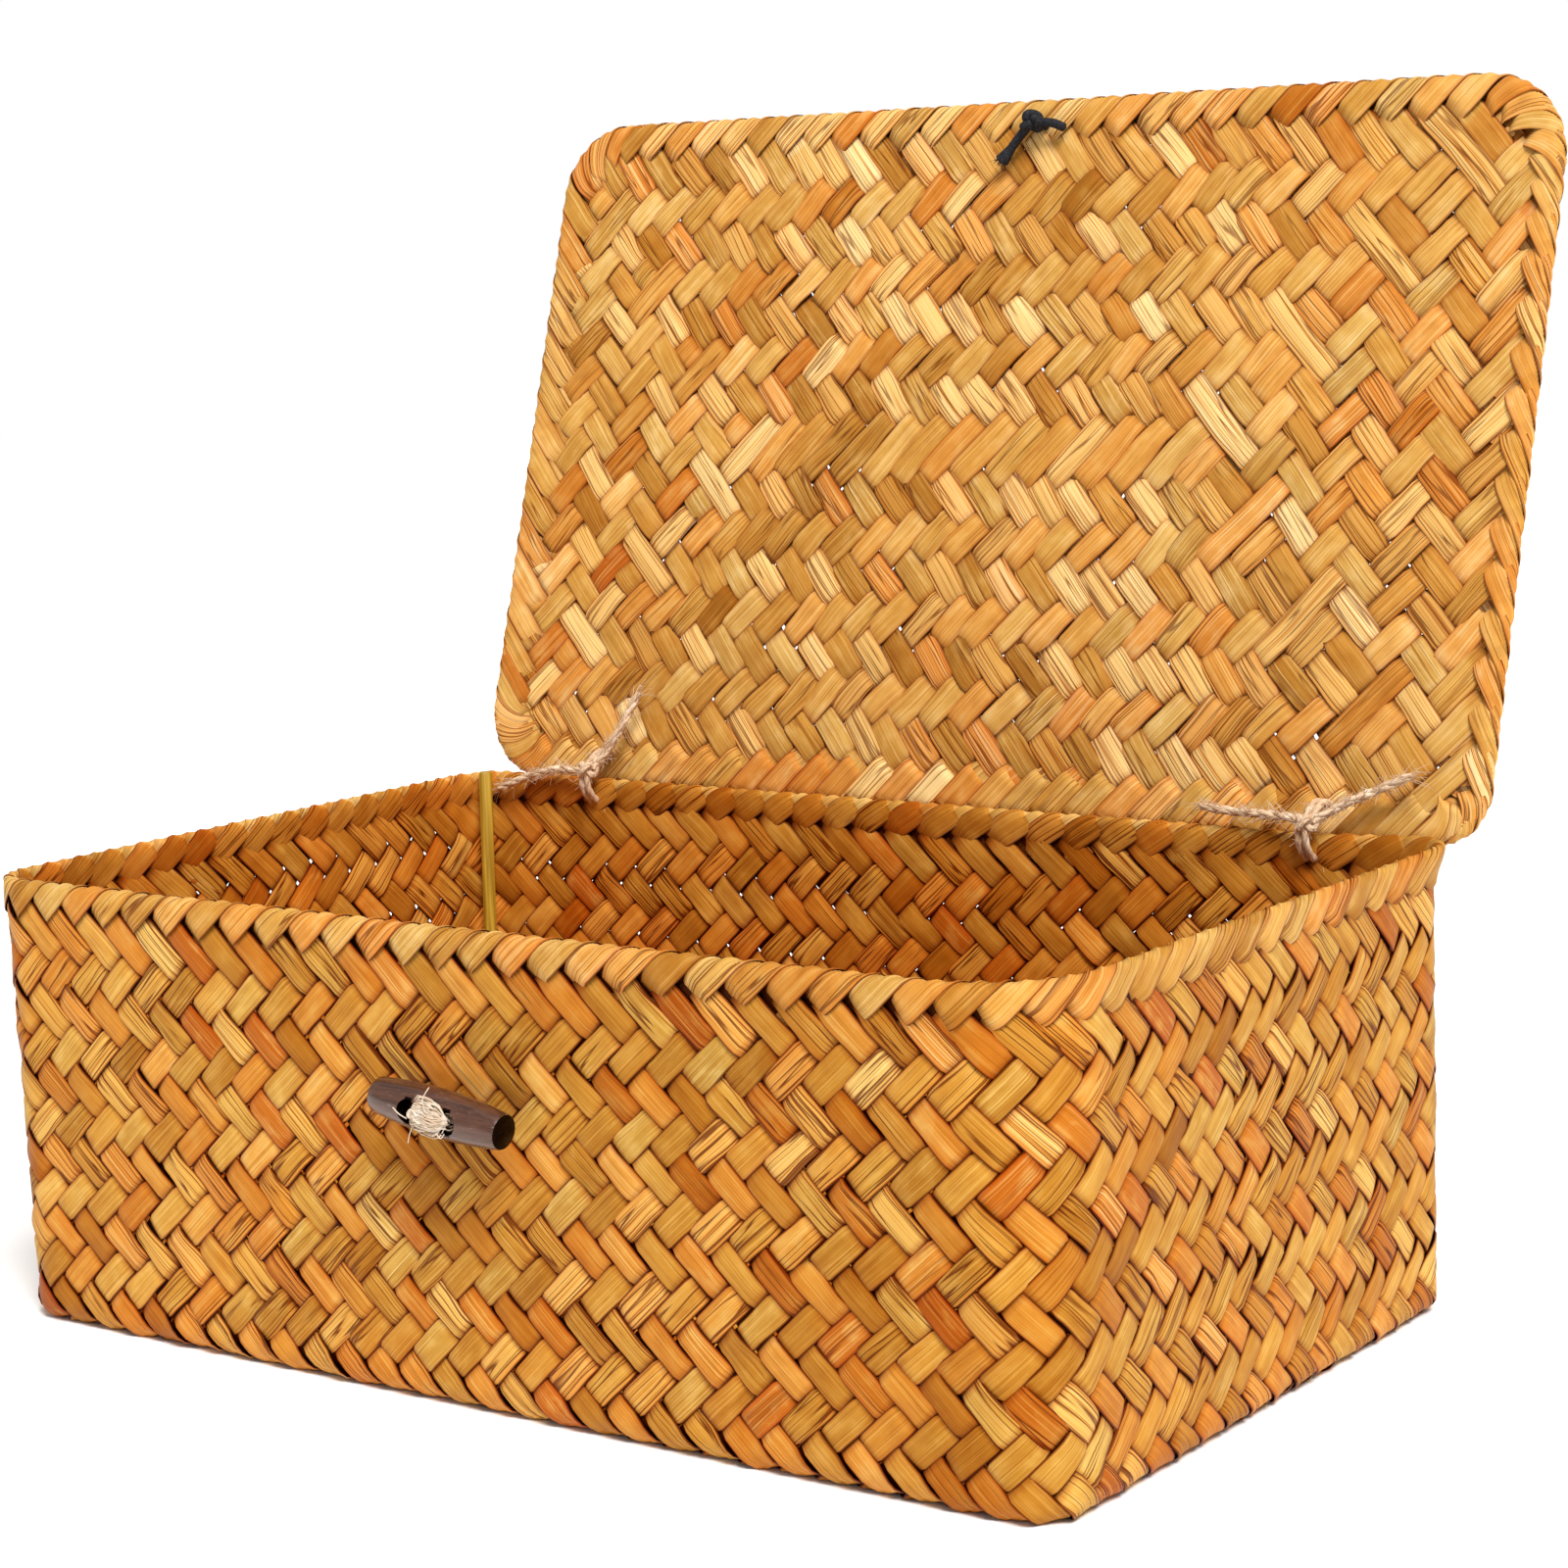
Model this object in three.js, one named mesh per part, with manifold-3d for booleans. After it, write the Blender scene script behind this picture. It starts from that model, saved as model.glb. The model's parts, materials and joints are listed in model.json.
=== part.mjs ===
// Woven seagrass storage box with a hinged lid, a wooden toggle and a cord loop. Sizes are in millimetres.
// The origin is the centre of the underside: +X to the right, +Y to the rear, +Z up. The lid stands open.

import * as THREE from 'three';
import { mergeVertices } from 'three/addons/utils/BufferGeometryUtils.js';
import Module from 'manifold-3d';

const wasm = await Module();
wasm.setup();

// The box: outer sizes over the folded rim, and of the woven shell where it stands
const RIM_WIDTH = 260;
const RIM_DEPTH = 161;
const BOX_HEIGHT = 96;
const BASE_WIDTH = 259;
const BASE_DEPTH = 155;
const BASE_CORNER = 11;
const BASE_EDGE = 4.5;
const RIM_CORNERS = [12, 24, 13, 12];

// The woven sheet is two layers of flat strip, and its edges carry a folded border of one more layer a side
const STRIP_THICKNESS = 0.8;
const FOLD_THICKNESS = 0.7;
const FOLD_BEVEL = 0.6;
const FOLD_HEIGHT = 8;
const FOLD_HEIGHT_INSIDE = 7.4;
const STRAIGHT_WALL_BELOW_FOLD = 2;
const FIT_GAP = 0.3;

// The lid, flat, a little larger than the rim
const LID_SIDE_OVERHANG = 3;
const LID_SIDE_SHIFT = 2;
const LID_REAR_OVERHANG = 1.6;
const LID_FRONT_OVERHANG = 0.6;
const LID_CORNERS = [18, 20, 12, 18];
const LID_FOLD_WIDTH = 9.2;
const LID_OPEN_DEG = 106.3;
const HINGE_DROP = 0.6;

// The reeds that stand in the corners
const POST_DIAMETER = 3.2;

// The twine ties that hinge the lid: a ring round the hinge line, a knot in it and two loose ends
const TWINE_DIAMETER = 2;
const TIE_RADIUS = 6;
const TIE_END_DISTANCES = { left: 38, right: 32 };
const TIE_HOLE_CLEARANCE = 0.35;
const TIE_KNOT_DEG = 155;
const TIE_KNOT_LENGTH = 6.4;
const TIE_KNOT_DIAMETER = 5;

// The toggle and the twine that carries it
const TOGGLE_X = 1.6;
const TOGGLE_DROP = 34.5;
const TOGGLE_TILT_DEG = 7;
const TOGGLE_LENGTH = 31.5;
const TOGGLE_DIAMETER = 9.2;
const TOGGLE_END_DIAMETER = 7;
const TOGGLE_HOLE_SPACING = 9.4;
const TOGGLE_HOLE_DIAMETER = 4.8;
const TOGGLE_ROCK_GAP = 0.5;
const SHANK_DIAMETER = 3.2;
const TOGGLE_KNOT_DIAMETER = 6;

// The cord loop that catches the toggle, and its knot inside the lid
const CORD_DIAMETER = 2;
const CORD_X = 6.8;
const CORD_EDGE_DISTANCE = 6.9;
const CORD_STRAND_SPACING = 3.2;
const LOOP_LENGTH = 45;
const LOOP_WIDTH = 11;
const CORD_KNOT_LENGTH = 6.4;
const CORD_KNOT_DIAMETER = 4.8;

// How finely curves are cut
const CORNER_STEPS = 6;
const EDGE_STEPS = 3;
const CORD_SIDES = 8;
const HOLE_SIDES = 16;
const KNOT_SIDES = 12;

const degrees = Math.PI / 180;
const cornerSigns = [[-1, -1], [1, -1], [1, 1], [-1, 1]];
const sheetThickness = 2 * STRIP_THICKNESS;
const borderThickness = sheetThickness + 2 * (FIT_GAP + FOLD_THICKNESS);
const borderInset = FIT_GAP + FOLD_THICKNESS;
const lidWidth = RIM_WIDTH + 2 * LID_SIDE_OVERHANG;
const lidDepth = RIM_DEPTH + LID_FRONT_OVERHANG + LID_REAR_OVERHANG;
const hingeY = RIM_DEPTH / 2;
const hingeZ = BOX_HEIGHT - HINGE_DROP;
const lidUnderside = HINGE_DROP + FIT_GAP;
const toggleHeight = BOX_HEIGHT - TOGGLE_DROP;
const tiePlaces = {
  left: TIE_END_DISTANCES.left - RIM_WIDTH / 2,
  right: RIM_WIDTH / 2 - TIE_END_DISTANCES.right,
};
const twineRadius = TWINE_DIAMETER / 2;
const cordRadius = CORD_DIAMETER / 2;

const seagrass = new THREE.MeshStandardMaterial({ color: 0xc08430, roughness: 0.6, metalness: 0 });
const reed = new THREE.MeshStandardMaterial({ color: 0xb59324, roughness: 0.45, metalness: 0 });
const darkWood = new THREE.MeshStandardMaterial({ color: 0x3d2c26, roughness: 0.5, metalness: 0 });
const jute = new THREE.MeshStandardMaterial({ color: 0xc9a883, roughness: 0.9, metalness: 0 });
const blackCord = new THREE.MeshStandardMaterial({ color: 0x14161a, roughness: 0.8, metalness: 0 });

const organizer = new THREE.Group();

function addPiece(parent, name, geometry, material) {
  const mesh = new THREE.Mesh(geometry, material);
  mesh.name = name;
  parent.add(mesh);
  return mesh;
}

// A rounded rectangle seen from above, anticlockwise from its front left corner.
// Each corner has its own radius, and every outline has the same number of points.
function outline(width, depth, corners, inset, height) {
  const x = width / 2 - inset;
  const y = depth / 2 - inset;
  return cornerSigns.flatMap(([signX, signY], corner) => {
    const radius = Math.max(corners[corner] - inset, FIT_GAP);
    const start = Math.PI + (corner * Math.PI) / 2;
    return Array.from({ length: CORNER_STEPS + 1 }, (_, step) => {
      const angle = start + (step / CORNER_STEPS) * (Math.PI / 2);
      return new THREE.Vector3(
        signX * (x - radius) + radius * Math.cos(angle),
        signY * (y - radius) + radius * Math.sin(angle),
        height,
      );
    });
  });
}

// A closed body through a list of outlines. Its ends are flat faces, or the last outline joins the first.
function loft(outlines, joinsItself) {
  const count = outlines[0].length;
  const points = outlines.flat();
  const faces = [];
  const bands = joinsItself ? outlines.length : outlines.length - 1;
  for (let band = 0; band < bands; band += 1) {
    const here = band * count;
    const next = ((band + 1) % outlines.length) * count;
    for (let i = 0; i < count; i += 1) {
      const j = (i + 1) % count;
      faces.push(here + i, here + j, next + j);
      faces.push(here + i, next + j, next + i);
    }
  }
  if (!joinsItself) {
    const last = (outlines.length - 1) * count;
    for (let i = 1; i < count - 1; i += 1) {
      faces.push(0, i + 1, i);
      faces.push(last, last + i, last + i + 1);
    }
  }
  const geometry = new THREE.BufferGeometry().setFromPoints(points);
  geometry.setIndex(faces);
  return geometry;
}

function solidFrom(geometry) {
  const bare = geometry.clone();
  bare.deleteAttribute('normal');
  bare.deleteAttribute('uv');
  const merged = mergeVertices(bare, 1e-3);
  const vertProperties = new Float32Array(merged.attributes.position.array);
  const triVerts = new Uint32Array(merged.index.array);
  return new wasm.Manifold(new wasm.Mesh({ numProp: 3, vertProperties, triVerts }));
}

function geometryFrom(solid) {
  const mesh = solid.getMesh();
  const geometry = new THREE.BufferGeometry();
  geometry.setAttribute('position', new THREE.BufferAttribute(mesh.vertProperties, 3));
  geometry.setIndex(new THREE.BufferAttribute(mesh.triVerts, 1));
  return geometry;
}

function cut(geometry, cutters) {
  return geometryFrom(cutters.reduce((solid, cutter) => solid.subtract(solidFrom(cutter)), solidFrom(geometry)));
}

function join(geometries) {
  return geometryFrom(geometries.map(solidFrom).reduce((solid, other) => solid.add(other)));
}

function roundSection(radius, sides) {
  const corners = Array.from({ length: sides }, (_, i) => {
    const angle = (i / sides) * 2 * Math.PI;
    return new THREE.Vector2(radius * Math.cos(angle), radius * Math.sin(angle));
  });
  return new THREE.Shape(corners);
}

function cordAlong(points, radius, steps) {
  const route = new THREE.CatmullRomCurve3(points, false, 'centripetal');
  const settings = { steps, bevelEnabled: false, extrudePath: route };
  return new THREE.ExtrudeGeometry(roundSection(radius, CORD_SIDES), settings);
}

// A rod along Y between two depths
function rodAlongY(radius, fromY, toY, x, z, sides) {
  const rod = new THREE.CylinderGeometry(radius, radius, toY - fromY, sides);
  rod.translate(0, (fromY + toY) / 2, 0);
  return rod.translate(x, 0, z);
}

function knot(length, diameter, x, y, z) {
  const ball = new THREE.SphereGeometry(diameter / 2, KNOT_SIDES, KNOT_SIDES / 2 + 1);
  ball.scale(length / diameter, 1, 1);
  return ball.translate(x, y, z);
}

// The wall's outer face stands straight below the rim and leans in evenly to the base
const wallTop = BOX_HEIGHT - FOLD_THICKNESS - FIT_GAP;
const foldFoot = BOX_HEIGHT - FOLD_HEIGHT;
const wallStraightFrom = foldFoot - STRAIGHT_WALL_BELOW_FOLD;

function wallOutline(height, inset) {
  const rise = THREE.MathUtils.clamp((height - BASE_EDGE) / (wallStraightFrom - BASE_EDGE), 0, 1);
  const width = THREE.MathUtils.lerp(BASE_WIDTH, RIM_WIDTH - 2 * borderInset, rise);
  const depth = THREE.MathUtils.lerp(BASE_DEPTH, RIM_DEPTH - 2 * borderInset, rise);
  const corners = RIM_CORNERS.map((radius) => THREE.MathUtils.lerp(BASE_CORNER, radius - borderInset, rise));
  return outline(width, depth, corners, inset, height);
}

function wallFrontFace(height) {
  return Math.min(...wallOutline(height, 0).map((point) => point.y));
}

// The rounded edge between wall and base, from the base up: its inset and its height
function baseEdge(radius) {
  return Array.from({ length: EDGE_STEPS }, (_, step) => {
    const angle = (step / EDGE_STEPS) * (Math.PI / 2);
    return { inset: BASE_EDGE - radius * Math.sin(angle), drop: radius * Math.cos(angle) };
  });
}

function tieCutter(x) {
  const ring = new THREE.TorusGeometry(TIE_RADIUS, twineRadius + TIE_HOLE_CLEARANCE, CORD_SIDES, 32);
  ring.rotateY(Math.PI / 2);
  return ring.translate(x, 0, 0);
}

const tieCutters = Object.values(tiePlaces).map(tieCutter);
const tieCuttersOnBox = tieCutters.map((cutter) => cutter.clone().translate(0, hingeY, hingeZ));

// The woven shell: base and walls in one sheet, open at the top
function wovenShell() {
  const levels = [BASE_EDGE, wallStraightFrom, wallTop];
  const outerEdge = baseEdge(BASE_EDGE).map(({ inset, drop }) => {
    return wallOutline(0, inset).map((point) => point.setZ(BASE_EDGE - drop));
  });
  const innerEdge = baseEdge(BASE_EDGE - sheetThickness).map(({ inset, drop }) => {
    return wallOutline(0, inset).map((point) => point.setZ(BASE_EDGE - drop));
  });
  const outside = levels.map((height) => wallOutline(height, 0));
  const inside = levels.map((height) => wallOutline(height, sheetThickness));
  const shell = loft([...outerEdge, ...outside, ...inside.reverse(), ...innerEdge.reverse()], false);
  const shankHole = rodAlongY(
    SHANK_DIAMETER / 2 + FIT_GAP,
    wallFrontFace(toggleHeight) - BASE_EDGE,
    wallFrontFace(toggleHeight) + sheetThickness + BASE_EDGE,
    TOGGLE_X,
    toggleHeight,
    HOLE_SIDES,
  );
  return cut(shell, [...tieCuttersOnBox, shankHole]);
}

// The folded border astride the wall's top edge
function rimFold() {
  const inner = borderThickness;
  const underTop = BOX_HEIGHT - FOLD_THICKNESS;
  const section = [
    [0, foldFoot],
    [0, BOX_HEIGHT - FOLD_BEVEL],
    [FOLD_BEVEL, BOX_HEIGHT],
    [inner - FOLD_BEVEL, BOX_HEIGHT],
    [inner, BOX_HEIGHT - FOLD_BEVEL],
    [inner, BOX_HEIGHT - FOLD_HEIGHT_INSIDE],
    [inner - FOLD_THICKNESS, BOX_HEIGHT - FOLD_HEIGHT_INSIDE],
    [inner - FOLD_THICKNESS, underTop],
    [FOLD_THICKNESS, underTop],
    [FOLD_THICKNESS, foldFoot],
  ];
  const hoop = loft(section.map(([inset, z]) => outline(RIM_WIDTH, RIM_DEPTH, RIM_CORNERS, inset, z)), true);
  return cut(hoop, tieCuttersOnBox);
}

// A reed stands in each corner, just clear of the rim, the walls and the base
function cornerPost(corner) {
  const [signX, signY] = cornerSigns[corner];
  const radius = POST_DIAMETER / 2;
  const foot = sheetThickness + FIT_GAP;
  const roundingTop = RIM_CORNERS[corner] - borderThickness;
  const reach = (roundingTop - radius - FIT_GAP) * Math.SQRT1_2;
  const topX = signX * (RIM_WIDTH / 2 - borderThickness - roundingTop + reach);
  const topY = signY * (RIM_DEPTH / 2 - borderThickness - roundingTop + reach);
  const roundingFoot = BASE_CORNER - BASE_EDGE;
  const footReach = (roundingFoot - radius) * Math.SQRT1_2;
  const footX = signX * (BASE_WIDTH / 2 - BASE_EDGE - roundingFoot + footReach);
  const footY = signY * (BASE_DEPTH / 2 - BASE_EDGE - roundingFoot + footReach);
  const section = (x, y, z) => roundSection(radius, HOLE_SIDES).getPoints().slice(0, HOLE_SIDES).map((point) => {
    return new THREE.Vector3(x + point.x, y + point.y, z);
  });
  return loft([section(footX, footY, foot), section(topX, topY, BOX_HEIGHT - FIT_GAP / 2)], false);
}

const box = new THREE.Group();
organizer.add(box);
addPiece(box, 'woven_shell', wovenShell(), seagrass);
addPiece(box, 'rim_fold', rimFold(), seagrass);
['front_left', 'front_right', 'rear_right', 'rear_left'].forEach((place, corner) => {
  addPiece(box, `corner_post_${place}`, cornerPost(corner), reed);
});

// A point on the ring of a tie, by its angle round the hinge line from the rear, upwards
function onTie(angleDeg, x) {
  const angle = angleDeg * degrees;
  return new THREE.Vector3(x, hingeY + TIE_RADIUS * Math.cos(angle), hingeZ + TIE_RADIUS * Math.sin(angle));
}

function tieRing(x) {
  const knotReach = TIE_KNOT_DIAMETER / 2 + FIT_GAP;
  const knotHalfDeg = (2 * Math.asin(knotReach / 2 / TIE_RADIUS)) / degrees + 1.5;
  const from = TIE_KNOT_DEG + knotHalfDeg;
  const to = TIE_KNOT_DEG + 360 - knotHalfDeg;
  const turns = 24;
  const points = Array.from({ length: turns + 1 }, (_, i) => onTie(from + ((to - from) * i) / turns, x));
  return cordAlong(points, twineRadius, turns);
}

function tieKnot(x) {
  const centre = onTie(TIE_KNOT_DEG, x);
  return knot(TIE_KNOT_LENGTH, TIE_KNOT_DIAMETER, centre.x, centre.y, centre.z);
}

// The loose ends, as steps from the middle of their knot
const TAILS = {
  left_low: [[-3.9, -0.2, -0.4], [-9, 0.1, -0.4], [-14, 0.2, -1.5], [-19, 0.2, -3], [-24, 0.2, -4.8], [-28, 0.2, -6.2]],
  left_high: [[2.7, 1.6, 2.2], [4.6, 3, 5.4], [6.4, 4.6, 9], [7.6, 6.4, 12.6], [9.6, 8.6, 17.6]],
  right_low: [[-3.9, 0.2, 0.8], [-9, 1, 1], [-14, 1.6, 0.9], [-20, 2.2, 1], [-26, 2.6, 1.4]],
  right_high: [[3.2, 1.2, 1.5], [6.4, 2.6, 3.4], [10.4, 3.8, 5.4], [15.4, 5, 7.6], [21, 6.4, 10.2]],
};

function tieTail(name, x) {
  const centre = onTie(TIE_KNOT_DEG, x);
  const points = TAILS[name].map(([dx, dy, dz]) => new THREE.Vector3(dx, dy, dz).add(centre));
  return cordAlong(points, twineRadius, 10);
}

// The lid is drawn shut, about its hinge line, and then turned open
const lid = new THREE.Group();
lid.position.set(0, hingeY, hingeZ);
lid.rotation.x = -LID_OPEN_DEG * degrees;
organizer.add(lid);

const lidMiddleY = LID_REAR_OVERHANG - lidDepth / 2;

function lidOutline(inset, height) {
  const centre = new THREE.Vector3(LID_SIDE_SHIFT, lidMiddleY, lidUnderside);
  return outline(lidWidth, lidDepth, LID_CORNERS, inset, height).map((point) => point.add(centre));
}

const cordY = CORD_EDGE_DISTANCE + LID_REAR_OVERHANG - lidDepth;
const strandPlaces = [-1, 1].map((side) => CORD_X + (side * CORD_STRAND_SPACING) / 2);
const cordHoles = strandPlaces.map((x) => {
  const hole = new THREE.CylinderGeometry(cordRadius + FIT_GAP, cordRadius + FIT_GAP, 3 * borderThickness, HOLE_SIDES);
  return hole.rotateX(Math.PI / 2).translate(x, cordY, lidUnderside + borderThickness / 2);
});

function lidPanel() {
  const edge = borderInset;
  const panel = loft([lidOutline(edge, borderInset), lidOutline(edge, borderInset + sheetThickness)], false);
  return cut(panel, [...tieCutters, ...cordHoles]);
}

// The folded border round the edge of the lid's panel
function lidFold() {
  const full = borderThickness;
  const section = [
    [0, FOLD_BEVEL],
    [0, full - FOLD_BEVEL],
    [FOLD_BEVEL, full],
    [LID_FOLD_WIDTH, full],
    [LID_FOLD_WIDTH, full - FOLD_THICKNESS],
    [FOLD_THICKNESS, full - FOLD_THICKNESS],
    [FOLD_THICKNESS, FOLD_THICKNESS],
    [LID_FOLD_WIDTH, FOLD_THICKNESS],
    [LID_FOLD_WIDTH, 0],
    [FOLD_BEVEL, 0],
  ];
  const hoop = loft(section.map(([inset, height]) => lidOutline(inset, height)), true);
  return cut(hoop, [...tieCutters, ...cordHoles]);
}

addPiece(lid, 'lid_panel', lidPanel(), seagrass);
addPiece(lid, 'lid_fold', lidFold(), seagrass);

Object.entries(tiePlaces).forEach(([side, x]) => {
  addPiece(box, `hinge_tie_${side}`, tieRing(x), jute);
  addPiece(box, `hinge_knot_${side}`, tieKnot(x), jute);
  addPiece(box, `hinge_tail_${side}_low`, tieTail(`${side}_low`, x), jute);
  addPiece(box, `hinge_tail_${side}_high`, tieTail(`${side}_high`, x), jute);
});

// The cord's knot lies under the shut lid, and its two strands run up through the lid
const cordKnotZ = lidUnderside - FIT_GAP - CORD_KNOT_DIAMETER / 2;

function cordKnot() {
  const lidTop = lidUnderside + borderThickness;
  const strands = strandPlaces.map((x) => {
    const length = lidTop - cordKnotZ;
    const strand = new THREE.CylinderGeometry(cordRadius, cordRadius, length, CORD_SIDES);
    return strand.rotateX(Math.PI / 2).translate(x, cordY, cordKnotZ + length / 2);
  });
  return join([knot(CORD_KNOT_LENGTH, CORD_KNOT_DIAMETER, CORD_X, cordY, cordKnotZ), ...strands]);
}

// The cord's two cut ends, as steps from the middle of the knot along the lid
const CORD_ENDS = {
  left: [[-2.2, 2.2, 0.3], [-4.1, 4.3, 0.6], [-5.9, 6.4, 1], [-7.8, 8.6, 1.2]],
  right: [[3.9, 0.3, 0.2], [5.3, 0.4, 0.6], [6.7, 0.9, 0.9], [8.1, 1.5, 1]],
};

function cordEnd(side) {
  const points = CORD_ENDS[side].map(([x, y, z]) => new THREE.Vector3(CORD_X + x, cordY + y, cordKnotZ + z));
  return cordAlong(points, cordRadius, 8);
}

addPiece(lid, 'closure_knot', cordKnot(), blackCord);
addPiece(lid, 'closure_end_left', cordEnd('left'), blackCord);
addPiece(lid, 'closure_end_right', cordEnd('right'), blackCord);

// The loop hangs straight down behind the open lid, from a line just clear of the lid's upper face
const loopPivot = new THREE.Vector3(0, cordY, lidUnderside + borderThickness + cordRadius + FIT_GAP);
loopPivot.applyAxisAngle(new THREE.Vector3(1, 0, 0), lid.rotation.x).add(lid.position);

function closureLoop() {
  const half = LOOP_WIDTH / 2;
  const top = CORD_STRAND_SPACING / 2;
  const side = [
    [top, 0],
    [top + 0.1, 0.09],
    [THREE.MathUtils.lerp(top, half, 0.3), 0.27],
    [THREE.MathUtils.lerp(top, half, 0.72), 0.5],
    [half, 0.73],
    [half * 0.8, 0.9],
    [half * 0.42, 0.98],
  ];
  const left = side.map(([x, share]) => new THREE.Vector3(CORD_X - x, 0, -LOOP_LENGTH * share));
  const right = side.map(([x, share]) => new THREE.Vector3(CORD_X + x, 0, -LOOP_LENGTH * share));
  const bottom = new THREE.Vector3(CORD_X, 0, -LOOP_LENGTH);
  return cordAlong([...left, bottom, ...right.reverse()], cordRadius, 44);
}

const loop = new THREE.Group();
loop.position.copy(loopPivot);
organizer.add(loop);
addPiece(loop, 'closure_loop', closureLoop(), blackCord);

// The toggle is drawn lying along X about its own middle, with the wall behind it
const strandReach = TOGGLE_DIAMETER / 2 + TOGGLE_ROCK_GAP + twineRadius;
const toggleStandOff = strandReach + twineRadius + TOGGLE_ROCK_GAP;
const toggle = new THREE.Group();
toggle.position.set(TOGGLE_X, wallFrontFace(toggleHeight) - toggleStandOff, toggleHeight);
toggle.rotation.y = TOGGLE_TILT_DEG * degrees;
organizer.add(toggle);

function toggleBarrel() {
  const half = TOGGLE_LENGTH / 2;
  const bevel = 0.5;
  const barrelSteps = 10;
  const bulge = (TOGGLE_DIAMETER - TOGGLE_END_DIAMETER) / 2;
  const side = Array.from({ length: barrelSteps + 1 }, (_, i) => {
    const share = (2 * i) / barrelSteps - 1;
    return new THREE.Vector2(TOGGLE_END_DIAMETER / 2 + bulge * (1 - share * share), share * (half - bevel));
  });
  const endRadius = TOGGLE_END_DIAMETER / 2 - bevel;
  const profile = [
    new THREE.Vector2(0, -half),
    new THREE.Vector2(endRadius, -half),
    ...side,
    new THREE.Vector2(endRadius, half),
    new THREE.Vector2(0, half),
  ];
  const barrel = new THREE.LatheGeometry(profile, 24);
  barrel.rotateZ(-Math.PI / 2);
  const holes = [-1, 1].map((hand) => {
    const x = (hand * TOGGLE_HOLE_SPACING) / 2;
    return rodAlongY(TOGGLE_HOLE_DIAMETER / 2, -TOGGLE_DIAMETER, TOGGLE_DIAMETER, x, 0, HOLE_SIDES);
  });
  return cut(barrel, holes);
}

// The twine runs through both holes, and twists into one shank that goes through the wall
function toggleTwine() {
  const x = TOGGLE_HOLE_SPACING / 2;
  const bend = 2;
  const quarters = [[1, 1, 0], [-1, 1, 1], [-1, -1, 2], [1, -1, 3]];
  const points = quarters.flatMap(([signX, signY, quarter]) => [0, 1, 2, 3].map((step) => {
    const angle = (quarter + step / 3) * (Math.PI / 2);
    const centreX = signX * (x - bend);
    const centreY = signY * (strandReach - bend);
    return new THREE.Vector3(centreX + bend * Math.cos(angle), centreY + bend * Math.sin(angle), 0);
  }));
  const route = new THREE.CatmullRomCurve3(points, true, 'centripetal');
  const ring = new THREE.TubeGeometry(route, 40, twineRadius, CORD_SIDES, true);
  const shankEnd = toggleStandOff + sheetThickness;
  const shank = rodAlongY(SHANK_DIAMETER / 2, strandReach, shankEnd, 0, 0, HOLE_SIDES);
  return join([ring, shank]);
}

function toggleKnot() {
  const y = toggleStandOff + sheetThickness + FIT_GAP + TOGGLE_KNOT_DIAMETER / 2;
  return knot(TOGGLE_KNOT_DIAMETER, TOGGLE_KNOT_DIAMETER, 0, y, 0);
}

addPiece(toggle, 'toggle', toggleBarrel(), darkWood);
addPiece(toggle, 'toggle_twine', toggleTwine(), jute);
addPiece(toggle, 'toggle_twine_knot', toggleKnot(), jute);

export default organizer;
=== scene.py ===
"""A woven seagrass storage box with an open lid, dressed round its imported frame.

Woven parts are worked out in millimetres and become metres when their mesh is made.
"""

import json
import math

import bpy
import numpy as np
from mathutils import Matrix, Vector


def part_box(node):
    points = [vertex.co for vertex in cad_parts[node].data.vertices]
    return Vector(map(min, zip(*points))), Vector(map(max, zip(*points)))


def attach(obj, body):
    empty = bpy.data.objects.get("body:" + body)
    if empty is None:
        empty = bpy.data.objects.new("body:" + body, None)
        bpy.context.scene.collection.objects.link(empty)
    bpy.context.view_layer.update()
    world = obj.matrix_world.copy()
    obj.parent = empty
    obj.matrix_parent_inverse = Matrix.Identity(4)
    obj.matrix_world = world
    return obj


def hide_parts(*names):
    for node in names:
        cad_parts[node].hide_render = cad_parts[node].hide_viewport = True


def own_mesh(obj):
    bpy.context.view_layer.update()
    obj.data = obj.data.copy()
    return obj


MM = 0.001
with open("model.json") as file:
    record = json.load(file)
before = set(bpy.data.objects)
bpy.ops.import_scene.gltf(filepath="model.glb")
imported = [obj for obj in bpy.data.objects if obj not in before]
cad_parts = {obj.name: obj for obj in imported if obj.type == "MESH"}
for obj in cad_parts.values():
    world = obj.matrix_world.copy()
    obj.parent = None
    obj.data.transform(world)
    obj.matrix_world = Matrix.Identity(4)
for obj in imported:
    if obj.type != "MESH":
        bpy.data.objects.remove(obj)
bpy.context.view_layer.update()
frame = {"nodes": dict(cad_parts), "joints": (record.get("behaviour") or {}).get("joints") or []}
bpy.ops.object.select_all(action="DESELECT")


def frame_joint(name):
    return next(joint for joint in frame["joints"] if joint["name"] == name)


# The camera that the photograph's corners give
CAMERA_PLACE = Vector((0.4371, -0.5679, 0.2204))
CAMERA_YAW = 0.6329
CAMERA_PITCH = 0.1524
CAMERA_ROLL = -0.0365
CAMERA_LENS = 81.45
CAMERA_SENSOR = 36

# The box, from its nodes, with corner radii from the front right corner round to the front left
RIM_LOW, RIM_HIGH = (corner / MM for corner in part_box("rim_fold"))
SHELL_LOW, SHELL_HIGH = (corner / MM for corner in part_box("woven_shell"))
RIM_WIDTH = RIM_HIGH.x - RIM_LOW.x
RIM_DEPTH = RIM_HIGH.y - RIM_LOW.y
BOX_HEIGHT = RIM_HIGH.z
FOLD_FOOT = RIM_LOW.z
BASE_WIDTH = SHELL_HIGH.x - SHELL_LOW.x
BASE_DEPTH = 155
BASE_EDGE = 4.5
BASE_CORNERS = (11, 11, 11, 11)
RIM_CORNERS = (24, 13, 12, 12)
CORNER_SIDES = ((1, -1), (1, 1), (-1, 1), (-1, -1))
CORNER_POINTS = 13
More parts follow.
